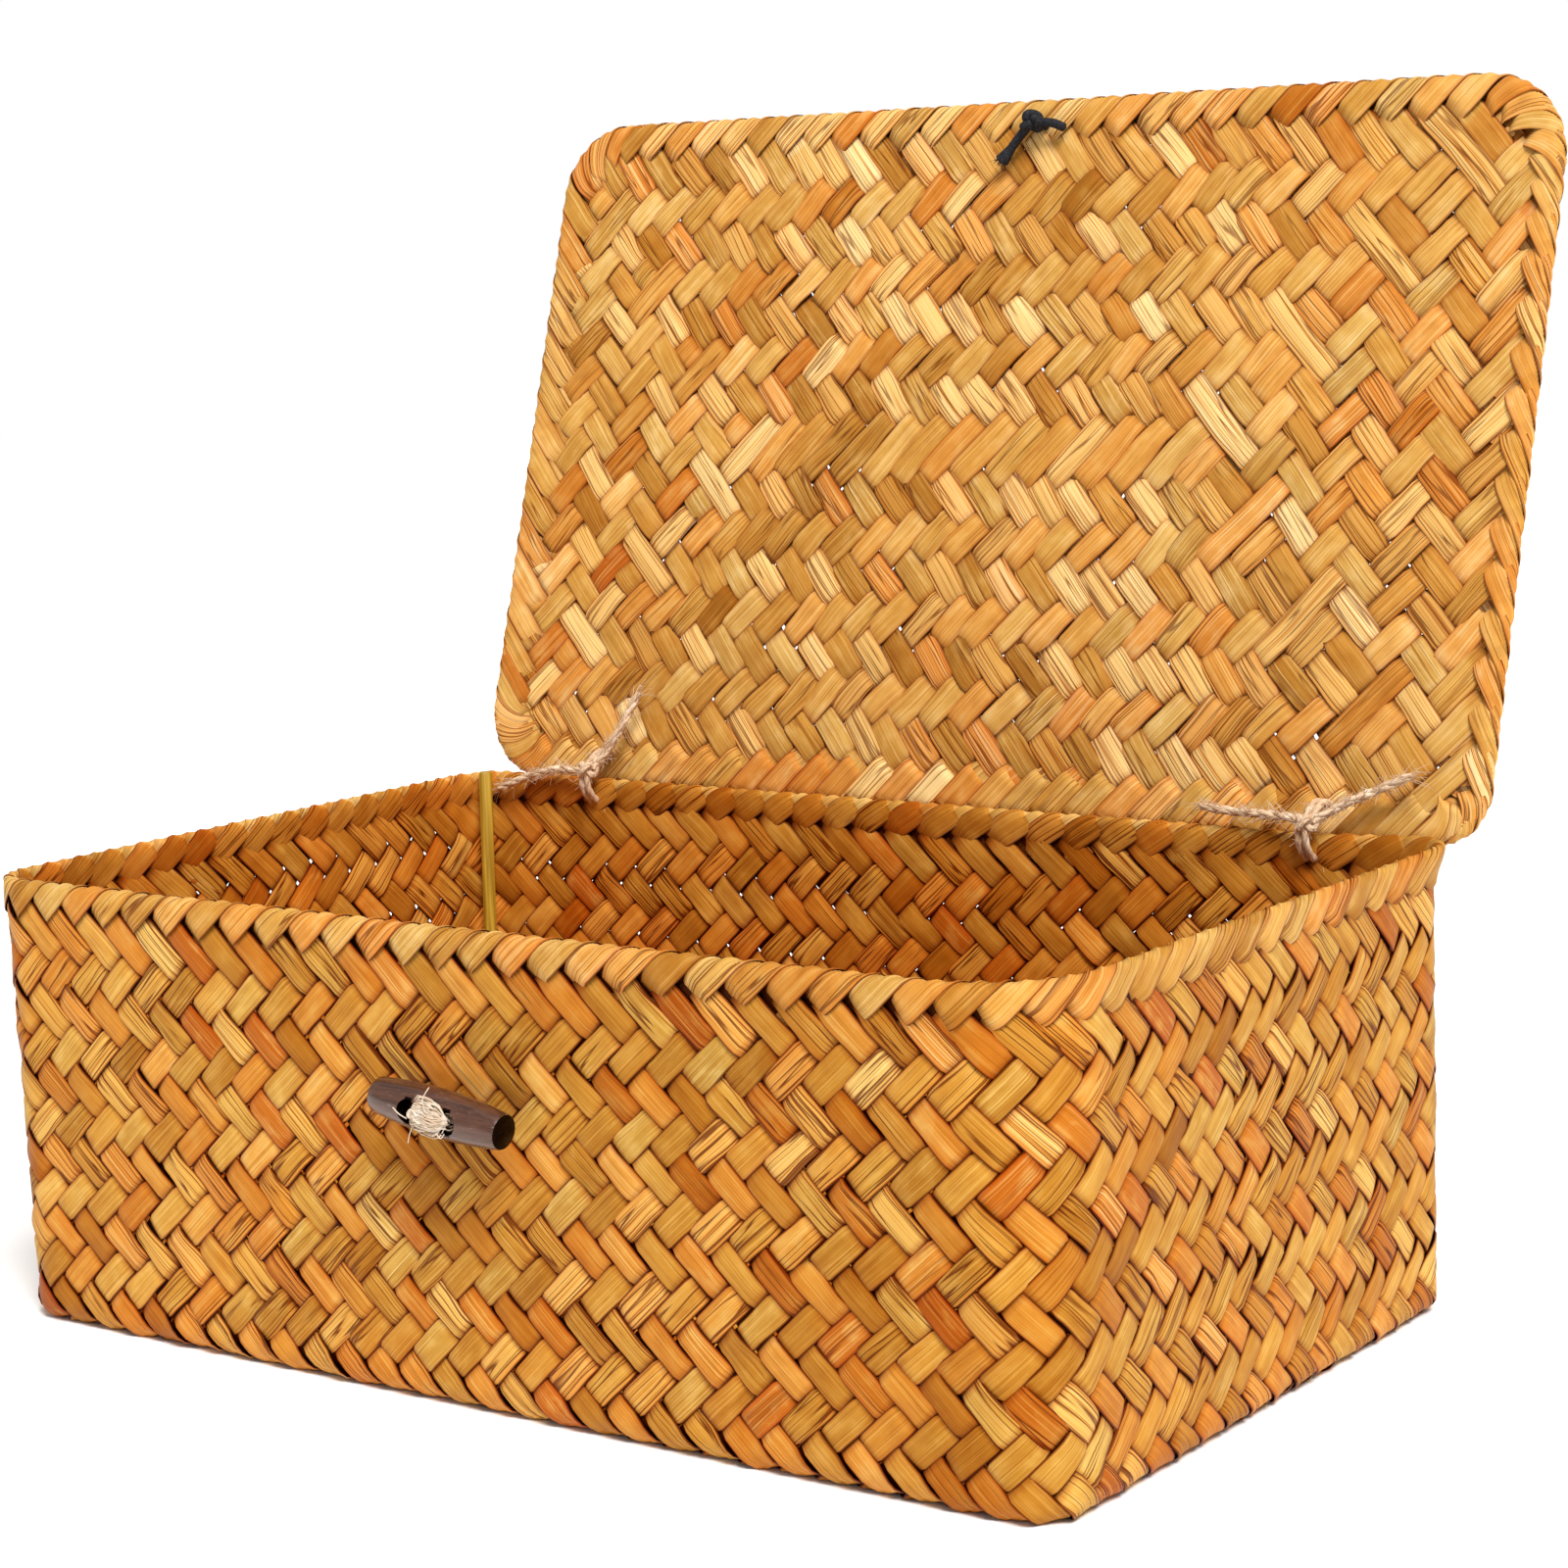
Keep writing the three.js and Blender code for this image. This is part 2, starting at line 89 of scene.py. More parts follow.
LEAST_RADIUS = 0.5
BORDER_INSET = 1.0
WALL_STRAIGHT_FROM = FOLD_FOOT - 2

# The lid, drawn shut about its hinge line and then turned open
LID_HINGE = frame_joint("lid_hinge")
HINGE = Vector(LID_HINGE["pos_m"])
LID_OPEN = math.radians(LID_HINGE["range_deg"][1])
OPEN_LID = Matrix.Translation(HINGE) @ Matrix.Rotation(-LID_OPEN, 4, "X")
LID_WIDTH = 266
LID_DEPTH = 163.2
LID_MIDDLE = (2, -80)
LID_CORNERS = (20, 12, 18, 18)
LID_INNER_FACE = 0.9
LID_OUTER_FACE = 4.5

# The plait: strips in two directions, each over two and under two
STRIP_STEPS = 4
STRIP_THICKNESS = 0.9
STRIP_LIFT = 0.56
SHEET_MIDDLE = 1.0
WALL_STRIP_WIDTH = 6.1
BASE_STRIP_WIDTH = 6.3
LID_STRIP_WIDTH = 6.5
LID_LIFT = 0.46
FLOAT_GAIN = 1.45
WAIST = 0.06
WALL_STRIPS = 92
WALL_ROW = 4.0
BASE_PITCH = 4.43
LID_PITCH_X = 4.15
LID_PITCH_Y = 4.65
ROUND_POINTS = 900
STRAY_WAVES = 6

# The borders' folds: how far they go on under the weave, and where and over what length they come out
FOLD_THICKNESS = 0.4
FOLD_WIDTH = 6.5
FOLD_POINTS = 46
FOLD_TUCK = 1.4
FOLD_OUT_FROM = 1.4
FOLD_OUT_OVER = 3
EDGE_GAP = 0.65
BEND_POINTS = 13

# A section across a strip: its places across, and how far each rises from the middle
BEVEL = 0.16
ACROSS = np.array([-1, BEVEL - 1, 0, 1 - BEVEL, 1, 1 - BEVEL, 0, BEVEL - 1])
RISE = np.array([0, 0.78, 1, 0.78, 0, -0.78, -1, -0.78])
STRIP_ENDS = [(0, 1, 7), (1, 2, 6, 7), (2, 3, 5, 6), (3, 4, 5)]


def unit(vectors):
    return vectors / np.maximum(np.linalg.norm(vectors, axis=-1, keepdims=True), 1e-9)


def moved(points, matrix):
    """Points in millimetres, carried by a matrix whose lengths are metres."""
    turn = np.array(matrix.to_3x3())
    return points @ turn.T + np.array(matrix.translation) / MM


def outline(width, depth, corners, inset):
    """A rounded rectangle drawn in from its edge, anticlockwise from the middle of its front side."""
    x = width / 2 - inset
    y = depth / 2 - inset
    path = [(0, -y)]
    for turn, (side_x, side_y) in enumerate(CORNER_SIDES):
        radius = max(corners[turn] - inset, LEAST_RADIUS)
        for angle in np.radians(np.linspace(turn * 90 - 90, turn * 90, CORNER_POINTS)):
            centre_x = side_x * (x - radius)
            centre_y = side_y * (y - radius)
            path.append((centre_x + radius * math.cos(angle), centre_y + radius * math.sin(angle)))
    return np.array(path + [(0, -y)])


def rounded(width, depth, corners, inset):
    """Points of a drawn-in outline, each straight in from an evenly spaced point of its edge."""
    length = distance_along(outline(width, depth, corners, 0))
    path = outline(width, depth, corners, inset)
    even = np.linspace(0, length[-1], ROUND_POINTS, endpoint=False)
    return read_off(path, length, even), length[-1]


class Sheet:
    """A sheet that runs round the box: a level outline for each step of the way across it."""

    def __init__(self, levels):
        rings = []
        lengths = []
        for _, width, depth, corners, inset, height, middle in levels:
            ring, length = rounded(width, depth, corners, inset)
            rings.append(np.column_stack([ring + np.array(middle), np.full(len(ring), height)]))
            lengths.append(length)
        self.points = np.array(rings)
        self.way = np.array([level[0] for level in levels])
        self.round = float(np.mean(lengths))
        round_step = np.roll(self.points, -1, axis=1) - np.roll(self.points, 1, axis=1)
        way_step = np.gradient(self.points, axis=0)
        self.normals = unit(np.cross(round_step, way_step))

    def at(self, t, w):
        """Points and outward normals at a distance round the sheet and a distance across it."""
        level = np.clip(np.interp(w, self.way, np.arange(len(self.way))), 0, len(self.way) - 1.001)
        column = np.mod(t / self.round, 1) * ROUND_POINTS
        low = level.astype(int)
        left = column.astype(int) % ROUND_POINTS
        right = (left + 1) % ROUND_POINTS
        up = (level - low)[:, None]
        along = (column - np.floor(column))[:, None]
        results = []
        for grid in (self.points, self.normals):
            bottom = grid[low, left] * (1 - along) + grid[low, right] * along
            top = grid[low + 1, left] * (1 - along) + grid[low + 1, right] * along
            results.append(bottom * (1 - up) + top * up)
        return results[0], unit(results[1])


class Flat:
    """A level sheet at one height, whose outer side faces down."""

    def __init__(self, height):
        self.height = height

    def at(self, x, y):
        return np.column_stack([x, y, np.full(len(x), self.height)]), np.tile((0, 0, -1), (len(x), 1))


def wander(seed, amount, period):
    """A smooth, seeded way for neighbouring strips to stray together from their straight lines."""
    rng = np.random.default_rng(seed)
    turns = rng.integers(1, 9, STRAY_WAVES) * rng.choice([-1, 1], STRAY_WAVES)
    climbs = rng.uniform(-0.09, 0.09, STRAY_WAVES)
    phases = rng.uniform(0, 2 * math.pi, (2, STRAY_WAVES))
    sizes = rng.uniform(0.4, 1, STRAY_WAVES) * amount / math.sqrt(STRAY_WAVES)

    def stray(t, w):
        angle = np.outer(t, turns * 2 * math.pi / period) + np.outer(w, climbs)
        return np.sin(angle + phases[0]) @ sizes, np.sin(angle + phases[1]) @ sizes

    return stray


def eased(values, places):
    """Values at whole places, read between them along a smooth curve."""
    padded = np.concatenate([values[:1], values, values[-1:]])
    low = np.clip(places.astype(int), 0, len(values) - 2)
    part = (places - low).reshape(-1, *[1] * (values.ndim - 1))
    before, here, there, after = (padded[low + k] for k in range(4))
    bend = 2 * here - 2 * there + (there - before) / 2 + (after - here) / 2
    swing = 3 * (there - here) - (there - before) - (after - here) / 2
    return here + part * ((there - before) / 2 + part * (swing + part * bend))


def risen(share):
    """A smooth step from 0 to 1."""
    share = np.clip(share, 0, 1)
    return share * share * (3 - 2 * share)


def distance_along(path):
    return np.append(0, np.cumsum(np.linalg.norm(np.diff(path, axis=0), axis=1)))


def read_off(path, length, places):
    """Points of a path at some distances along it, from the distance at each of its own points."""
    return np.column_stack([np.interp(places, length, values) for values in path.T])


def smooth(points, count):
    """Evenly spaced points of a smooth curve through a few."""
    points = np.array(points, float)
    rough = eased(points, np.linspace(0, len(points) - 1, len(points) * 12))
    length = distance_along(rough)
    even = np.linspace(0, length[-1], count)
    return read_off(rough, length, even)


def crossways(path):
    """Two directions across a path at each of its points, carried along without twist."""
    ahead = unit(np.gradient(path, axis=0))
    sides = [unit(np.cross(ahead[0], (0.31, 0.52, 0.79)))]
    for direction in ahead[1:]:
        sides.append(unit(sides[-1] - direction * np.dot(sides[-1], direction)))
    sides = np.array(sides)
    return sides, np.cross(ahead, sides)


class Skin:
    """Rings of points joined into closed strips or tubes of one mesh, with values kept at each point."""

    def __init__(self, seed):
        self.rng = np.random.default_rng(seed)
        self.points = []
        self.faces = []
        self.strip = []
        self.tone = []
        self.count = 0

    def sweep(self, rings, ends, strip, tone):
        """Joins rings of points, closes both ends and keeps the values that go with them."""
        size = rings.shape[1]
        for ring in range(len(rings) - 1):
            here = self.count + ring * size
            sides = [(i, (i + 1) % size) for i in range(size)]
            self.faces += [(here + i, here + j, here + size + j, here + size + i) for i, j in sides]
        last = self.count + (len(rings) - 1) * size
        self.faces += [tuple(self.count + i for i in reversed(face)) for face in ends]
        self.faces += [tuple(last + i for i in face) for face in ends]
        self.points.append(rings.reshape(-1, 3))
        self.strip.append(strip)
        self.tone.append(tone)
        self.count += rings.shape[0] * size

    def tube(self, path, radius, sides=8, tone=(0.5, 0.5, 0.5, 0.5)):
        """A round tube along a path, whose radius may change from point to point."""
        side, up = crossways(path)
        angles = np.linspace(0, 2 * math.pi, sides, endpoint=False)
        radius = np.broadcast_to(radius, len(path))[:, None, None]
        spokes = side[:, None] * np.cos(angles)[:, None] + up[:, None] * np.sin(angles)[:, None]
        along = np.repeat(distance_along(path), sides)
        turn = np.tile(angles, len(path))
        strip = np.column_stack([along, np.cos(turn), np.sin(turn)])
        rings = path[:, None] + radius * spokes
        self.sweep(rings, [tuple(range(sides))], strip, np.tile(tone, (len(strip), 1)))

    def twine(self, path, radius, plies=2, pitch=5.0, hairs=0, fray=0.0):
        """Twisted strands along a path, with loose fibres, and opened out at the far end by fray."""
        rng = self.rng
        side, up = crossways(path)
        length = distance_along(path)
        spread = 1 + fray * np.clip((length - length[-1] + 4) / 4, 0, 1) ** 1.5
        for number in range(plies):
            angle = 2 * math.pi * (length / pitch + number / plies)
            swing = side * np.cos(angle)[:, None] + up * np.sin(angle)[:, None]
            strand = path + swing * (radius * 0.38 * spread)[:, None]
            thickness = radius * 0.65 * (1 + 0.06 * rng.normal(size=len(path)))
            if fray:
                thickness = thickness * (1 - 0.45 * (spread - 1) / fray)
            self.tube(strand, thickness, 8, (0.5, rng.uniform(0, 1), 0.5, rng.uniform(0, 1)))
        for _ in range(hairs):
            self.hair(path, radius, rng.integers(0, len(path) - 1), rng.uniform(1.2, 3.4))
        for _ in range(int(26 * fray)):
            self.hair(path, radius * 0.8, len(path) - 2, rng.uniform(1.5, 4.5), 0.4)

    def hair(self, path, radius, start, length, stray=1.0):
        """One loose fibre that leaves a twine at a point of its path."""
        rng = self.rng
        ahead = unit(path[start + 1] - path[start])
        out = unit(np.cross(ahead, rng.normal(size=3)))
        base = path[start] + out * radius * 0.7
        heading = unit(ahead * rng.choice([-1, 1, 1]) + out * stray * rng.uniform(0.3, 1))
        curl = rng.normal(size=3) * 0.25
        steps = np.linspace(0, 1, 6)[:, None]
        line = base + length * (heading * steps + curl * steps ** 2)
        self.tube(line, np.linspace(0.08, 0.04, 6), 4, (0.5, rng.uniform(0.5, 1), 0.5, rng.uniform(0, 1)))

    def made(self, name, matrix=None):
        points = np.concatenate(self.points)
        if matrix:
            points = moved(points, matrix)
        mesh = bpy.data.meshes.new(name)
        mesh.from_pydata((points * MM).tolist(), [], self.faces)
        stored(mesh, "strip", "FLOAT_VECTOR", "vector", self.strip)
        stored(mesh, "tone", "FLOAT_COLOR", "color", self.tone)
        piece = linked(name, mesh)
        shaded(piece, 50)
        piece.select_set(False)
        return piece


class Plait(Skin):
    """Flat strips, each with its length, its height in the weave and its tone."""

    def __init__(self, seed, family=(1.6, 2.2), light=0.0, lined=0.2):
        super().__init__(seed)
        self.family = family
        self.light = light
        self.lined = lined
        self.side = []

    def strand_tone(self):
        """A strip's own colour family, lightness, fibre and seed: a leaf's inner face is pale and lined."""
        rng = self.rng
        light = np.clip(rng.normal(0.5 + self.light, 0.22), 0, 1)
        lined = rng.random() < self.lined
        fibre = rng.uniform(0.68, 1) if lined else rng.uniform(0, 0.5)
        return np.array([rng.beta(*self.family), light, fibre, rng.uniform(0, 1)])

    def laid(self, rings, length, lift, tones, facing):
        """A strip from its rings of points, and whether each ring faces out of the box or into it."""
        size = len(ACROSS)
        strip = np.column_stack([
            np.repeat(length, size),
            np.tile(ACROSS, len(length)),
            np.outer(lift, np.sign(RISE)).ravel(),
        ])
        self.sweep(rings, STRIP_ENDS, strip, np.repeat(tones, size, axis=0))
        # The side value is negative on faces turned into the box, where the material paints shade.
        self.side.append(np.outer(facing, np.sign(RISE)).ravel())

    def made(self, name, matrix=None):
        piece = super().made(name, matrix)
        stored(piece.data, "side", "FLOAT", "value", self.side)
        applied(piece, "flat_faces", "WEIGHTED_NORMAL", weight=80, keep_sharp=True)
        return piece

    def weave(self, sheet, places, over, stray, width, lift=STRIP_LIFT):
        """One strip of the plait: its crossings on the sheet, and whether it is over or under at each.

        Both its ends lie level, neither over nor under.
        """
        rng = self.rng
        over = np.array([0, *over[1:-1], 0])
        fine = np.linspace(0, len(places) - 1, (len(places) - 1) * STRIP_STEPS + 1)
        t, w = read_off(places, np.arange(len(places)), fine).T
        offset = rng.normal(0, 0.15)
        shift_t, shift_w = stray(t, w)
        height = np.clip(FLOAT_GAIN * eased(over.astype(float), fine), -1, 1)
        points, normals = sheet.at(t + shift_t + offset, w + shift_w)
        loose = eased(rng.normal(1, 0.16, len(places)), fine)
        middle = points + normals * (height * lift * loose)[:, None]
        ahead = unit(np.gradient(middle, axis=0))
        side = unit(np.cross(ahead, normals))
        up = np.cross(side, ahead)
        roll = eased(rng.normal(0, 0.07, len(places)), fine)[:, None]
        side, up = side * np.cos(roll) + up * np.sin(roll), up * np.cos(roll) - side * np.sin(roll)
        float_index = np.append(0, np.cumsum(np.diff(over) != 0))
        nearest = float_index[np.round(fine).astype(int)]
        own = rng.normal(0, 1, (float_index[-1] + 1, 4)) * np.array([0.09, 0.13, 0.03, 0])
        tones = np.clip(self.strand_tone() + own[nearest], 0, 1)
        widths = width * rng.normal(1, 0.03) * eased(rng.normal(1, 0.03, len(places)), fine)
        widths *= 1 - WAIST * (1 - np.minimum(height * height, 1)) ** 2
        spread = np.outer(widths / 2, ACROSS)[:, :, None] * side[:, None]
        rise = (STRIP_THICKNESS / 2 * RISE)[:, None] * up[:, None]
        rings = middle[:, None] + spread + rise
        self.laid(rings, distance_along(middle), height, tones, np.ones(len(fine)))

    def fold(self, sheet, t, w, width, depth, tilt, lift, tones, facing):
        """A strip that hugs a bent sheet, with its edge raised over the next one by tilt."""
        ahead_t = np.gradient(t)
        ahead_w = np.gradient(w)
        length = np.hypot(ahead_t, ahead_w)
        rings = []
        for across, rise in zip(ACROSS, RISE):
            half = across * width / 2
            points, normals = sheet.at(t + half * ahead_w / length, w - half * ahead_t / length)
            height = rise * FOLD_THICKNESS / 2 + across * tilt - depth
            rings.append(points + normals * height[:, None])
        rings = np.array(rings).transpose(1, 0, 2)
        self.laid(rings, distance_along(rings.mean(axis=1)), lift, tones, facing)


def linked(name, data):
    """A new object of the scene, for a mesh, a lamp or a camera."""
    item = bpy.data.objects.new(name, data)
    bpy.context.scene.collection.objects.link(item)
    return item


def choose(piece):
    """Selects a piece alone and makes it the active one."""
    bpy.ops.object.select_all(action="DESELECT")
    piece.select_set(True)
    bpy.context.view_layer.objects.active = piece


def applied(piece, name, kind, **settings):
    """Adds a modifier to a piece, sets it and applies it."""
    modifier = piece.modifiers.new(name, kind)
    for key, value in settings.items():
        setattr(modifier, key, value)
    choose(piece)
    bpy.ops.object.modifier_apply(modifier=modifier.name)


def shaded(piece, sharp_from):
    """Shades a piece smooth but for the edges that bend more than an angle in degrees."""
    choose(piece)
    bpy.ops.object.shade_smooth_by_angle(angle=math.radians(sharp_from))


def stored(mesh, name, kind, field, values):
    """Keeps a value for each point of a mesh, for its material to read."""
    attribute = mesh.attributes.new(name, kind, "POINT")
    attribute.data.foreach_set(field, np.concatenate(values).astype(np.float32).ravel())


def settled(piece, matrix):
    """Puts a piece of wood or reed where a matrix says, for good, and shades it."""
    piece.matrix_world = matrix
    choose(piece)
    bpy.ops.object.transform_apply(location=True, rotation=True, scale=True)
    shaded(piece, 35)


def colour(text):
    """A colour written as on screen, in the linear values that Blender keeps."""
    parts = [int(text[i:i + 2], 16) / 255 for i in (1, 3, 5)]
    return (*(((p + 0.055) / 1.055) ** 2.4 if p > 0.04045 else p / 12.92 for p in parts), 1)


class Value:
    """A socket of numbers, so that shader maths reads as Python."""

    def __init__(self, finish, socket):
        self.finish = finish
        self.socket = socket

    def maths(self, operation, *others):
        return self.finish.node("ShaderNodeMath", {"operation": operation}, (self, *others))

    def __add__(self, other):
        return self.maths("ADD", other)

    def __sub__(self, other):
        return self.maths("SUBTRACT", other)

    def __rsub__(self, other):
        return self.finish.node("ShaderNodeMath", {"operation": "SUBTRACT"}, (other, self))

    def __mul__(self, other):
        return self.maths("MULTIPLY", other)

    def __truediv__(self, other):
        return self.maths("DIVIDE", other)

    def __abs__(self):
        return self.maths("ABSOLUTE")

    def clamped(self, least=0.0):
        return self.finish.node("ShaderNodeClamp", {}, (self, least))

    def above(self, start, gain):
        """How far this is above a start, times a gain, from 0 to 1."""
        return ((self - start) * gain).clamped()

    def below(self, start, gain):
        """How far this is below a start, times a gain, from 0 to 1."""
        return ((start - self) * gain).clamped()


class Finish:
    """A procedural material while it is put together."""

    def __init__(self, name, **constants):
        self.material = bpy.data.materials.new(name)
        self.material.use_nodes = True
        self.tree = self.material.node_tree
        self.surface = self.tree.nodes["Principled BSDF"]
        self.paint(**constants)

    def feed(self, socket, value):
        if isinstance(value, Value):
            self.tree.links.new(value.socket, socket)
        else:
            socket.default_value = colour(value) if isinstance(value, str) else value

    def node(self, kind, settings, sockets, output=0):
        """A node of a type, with its settings made first, then the values or links of its sockets."""
        made = self.tree.nodes.new(kind)
        for key, value in settings.items():
            if key == "stops":
                self.set_stops(made.color_ramp, value)
            else:
                setattr(made, key, value)
        pairs = sockets.items() if isinstance(sockets, dict) else enumerate(sockets)
        for key, value in pairs:
            self.feed(made.inputs[key], value)
        return Value(self, made.outputs[output])

    def set_stops(self, ramp, stops):
        while len(ramp.elements) < len(stops):
            ramp.elements.new(1)
        for element, (place, tint) in zip(ramp.elements, stops):
            element.position = place
            element.color = colour(tint)

    def attribute(self, name, output="Vector"):
        return self.node("ShaderNodeAttribute", {"attribute_name": name}, {}, output)

    def split(self, vector):
        return [self.node("ShaderNodeSeparateXYZ", {}, (vector,), k) for k in range(3)]

    def vector(self, x, y, z):
        return self.node("ShaderNodeCombineXYZ", {}, (x, y, z))

    def place(self):
        return self.node("ShaderNodeTexCoord", {}, {}, "Object")

    def stretched(self, vector, scale):
        settings = {"operation": "MULTIPLY"}
        return self.node("ShaderNodeVectorMath", settings, (vector, scale))

    def noise(self, vector, scale=1.0, detail=2.0, roughness=0.5):
        """Noise over a vector, or over one put together from three values."""
        vector = self.vector(*vector) if isinstance(vector, tuple) else vector
        sockets = {"Vector": vector, "Scale": scale, "Detail": detail, "Roughness": roughness}
        return self.node("ShaderNodeTexNoise", {}, sockets)

    def ramp(self, value, stops):
        return self.node("ShaderNodeValToRGB", {"stops": stops}, (value,))

    def mix(self, share, first, second):
        return self.node("ShaderNodeMix", {"data_type": "RGBA"}, {0: share, 6: first, 7: second}, 2)

    def layered(self, tint, *layers):
        """A colour with others laid over it in turn, each by its share."""
        for share, top in layers:
            tint = self.mix(share, tint, top)
        return tint

    def tinted(self, first, second):
        """One colour multiplied by another."""
        settings = {"data_type": "RGBA", "blend_type": "MULTIPLY"}
        return self.node("ShaderNodeMix", settings, {0: 1, 6: first, 7: second}, 2)

    def paint(self, **inputs):
        """Feeds the shader's sockets, each named in lower case with underscores."""
        for socket, value in inputs.items():
            label = socket.replace("_", " ").title().replace("Ior", "IOR")
            self.feed(self.surface.inputs[label], value)

    def bump(self, height, distance, strength=1.0):
        sockets = {"Height": height, "Distance": distance, "Strength": strength}
        self.paint(normal=self.node("ShaderNodeBump", {}, sockets))


# Smooth strips from olive to orange-brown, and pale lined ones
STRIP_TINTS = [
    (0.0, "#c0944a"), (0.2, "#cda052"), (0.42, "#d9ac5c"), (0.62, "#e2a858"),
    (0.78, "#df9c4c"), (0.92, "#d68c3c"), (1.0, "#c4702a"),
]
LINED_TINTS = [(0.0, "#e6b866"), (0.4, "#f6d48e"), (0.7, "#f0b668"), (1.0, "#dd9446")]
STRIP_SHADES = [(0.0, "#cda872"), (0.5, "#f2e0c2"), (1.0, "#ffffff")]


def strip_finish(name, depth, outer_shade="#ffffff", inside="#ffffff"):
    """Flat seagrass: smooth olive and honey strips and pale lined ones, with painted shade, dark red, where
    they dip, along their edges and on faces turned into the box; depth sets how strong the painted shade is.
    """
    finish = Finish(name, specular_ior_level=0.14, specular_tint="#ff9c48")
    along, across, lift = finish.split(finish.attribute("strip"))
    family, light, fibre = finish.split(finish.attribute("tone", "Color"))
    seed = finish.attribute("tone", "Alpha") * 60
    # Faces turned into the box, which get painted shade.
    inner = (0 - finish.attribute("side", "Fac")).clamped()
    side = abs(across)
    height = lift / ((1 - side) / BEVEL).clamped(0.04)
    fine = finish.noise((along * 0.03, across * 9, seed), detail=2, roughness=0.6)
    coarse = finish.noise((along * 0.02, across * 1.8, seed + 9), detail=1)
    patch = finish.noise((along * 0.16, across * 0.9, seed + 21), detail=3)
    stray = finish.noise((along * 0.05, 4, seed + 70), detail=1)
    lined = fibre.above(0.58, 20)
    line = abs(coarse - 0.48).below(0.03, 45) * fibre.above(0.24, 8)
    rip = across - stray * 0.5 - 0.46
    torn = fibre.above(0.36, 12)
    crack = (line + abs(rip).below(0.06, 24) * torn).clamped()
    sliver = (rip * 30).clamped() * torn
    # Painted shade: a thin dark line along each strip's edges, where it meets its neighbours.
    edge = ((side - 0.9 + 0.03 * depth + (fine - 0.5) * 0.1) * 12).clamped()
    # Orange towards each strip's edges, most on the rust-coloured strips: partly their own colour, partly
    # painted shade towards the edges.
    orange_edge_and_shade = ((side - 0.62 + (fine - 0.5) * 0.5) * 2.6).clamped() * family
    # Painted shade: darker red-brown as a strip dips towards where it goes under another.
    turned = (0.9 - height).clamped()
    bright = finish.layered(
        finish.ramp(family, LINED_TINTS),
        (fine.above(0.5, 4) * 0.7, "#ffeec4"),
        (fine.below(0.47, 8) * 0.8, "#ac5a16"),
    )
    tint = finish.layered(
        finish.ramp(family, STRIP_TINTS),
        (patch.above(0.5, 1.6), "#a8621c"),
        (patch.below(0.48, 2.2), "#f2d596"),
        (fine.below(0.48, 2.4), "#96540f"),
        (fine.above(0.52, 2.6), "#ffe2a6"),
        (lined, bright),
        # The strips' own orange edges, with painted shade towards them.
        (orange_edge_and_shade * (0.4 + 0.35 * depth), "#bc4a08"),
        (sliver * 0.4, "#ffbe6c"),
        # Painted shade: darker where a strip dips, along its edges and, darkest, where it lies under the
        # strips over it; the cracks between are the strips' own.
        (turned * (0.75 * depth), "#983a02"),
        (crack * (0.45 + 0.4 * depth), "#641e02"),
        (edge * (0.4 + 0.5 * depth), "#5c1000"),
        (height.below(0.3, 2.4) * (0.3 + 0.65 * depth), "#2a0500"),
    )
    tint = finish.tinted(tint, finish.ramp(light, STRIP_SHADES))
    # Painted shade: the faces turned out of the box and into it are multiplied by their own darker colours.
    tint = finish.tinted(tint, finish.mix(inner, outer_shade, inside))
    finish.paint(base_color=tint, roughness=fine * 0.3 + 0.36)
    finish.bump(fine * 0.5 - crack * 1.2, 0.12 * MM, 0.7)
    return finish.material


def twine_finish(name, dark, pale, soft_tint):
    """Jute, its fibres twisted along each strand, with painted shade on a strand whose first tone value is
    low.
    """
    finish = Finish(name, roughness=0.9, specular_ior_level=0.15)
    along, turn_x, turn_y = finish.split(finish.attribute("strip"))
    unshaded, light, _ = finish.split(finish.attribute("tone", "Color"))
    seed = finish.attribute("tone", "Alpha") * 40
    fibre = finish.noise((along * 0.5, turn_x * 3 + seed, turn_y * 3), detail=3)
    soft = finish.noise(finish.place(), scale=500, detail=2)
    tint = finish.layered(
        finish.mix(fibre.above(0.3, 3), dark, pale),
        (soft.above(0.45, 3), soft_tint),
        ((0.7 - light).clamped() * 0.4, "#94683f"),
        # Painted shade: darker where a strand's first tone value is below a half.
        ((1 - unshaded * 2).clamped(), "#3c281a"),
    )
    finish.paint(base_color=tint)
    finish.bump(fibre, 0.12 * MM, 0.8)
    return finish.material


def cord_finish():
    """Black braided cord."""
    finish = Finish("black_cord", roughness=0.8, specular_ior_level=0.3)
    along, turn_x, turn_y = finish.split(finish.attribute("strip"))
    braid = finish.noise((along * 2.2, turn_x * 2.4, turn_y * 2.4), detail=2)
    fleck = finish.noise(finish.place(), scale=1600, detail=2)
    tint = finish.mix(braid.above(0.4, 3), "#0d0d10", "#2e2f36")
    tint = finish.mix(fleck.above(0.6, 3), tint, "#44454d")
    finish.paint(base_color=tint)
    finish.bump(braid + fleck * 0.5, 0.16 * MM, 0.8)
    return finish.material


def reed_finish():
    """A smooth olive-yellow reed with fine grooves along it."""
    finish = Finish("reed", roughness=0.4, specular_ior_level=0.35)
    groove = finish.noise(finish.stretched(finish.place(), (1300, 1300, 16)), detail=3)
    patch = finish.noise(finish.stretched(finish.place(), (160, 160, 50)), detail=2)
    tint = finish.mix(groove.above(0.3, 2.4), "#8a6410", "#c9a334")
    tint = finish.mix(patch.above(0.52, 5) * 0.7, tint, "#9a6a14")
    finish.paint(base_color=tint, roughness=groove * 0.25 + 0.32)
    finish.bump(groove, 0.12 * MM, 0.6)
    return finish.material


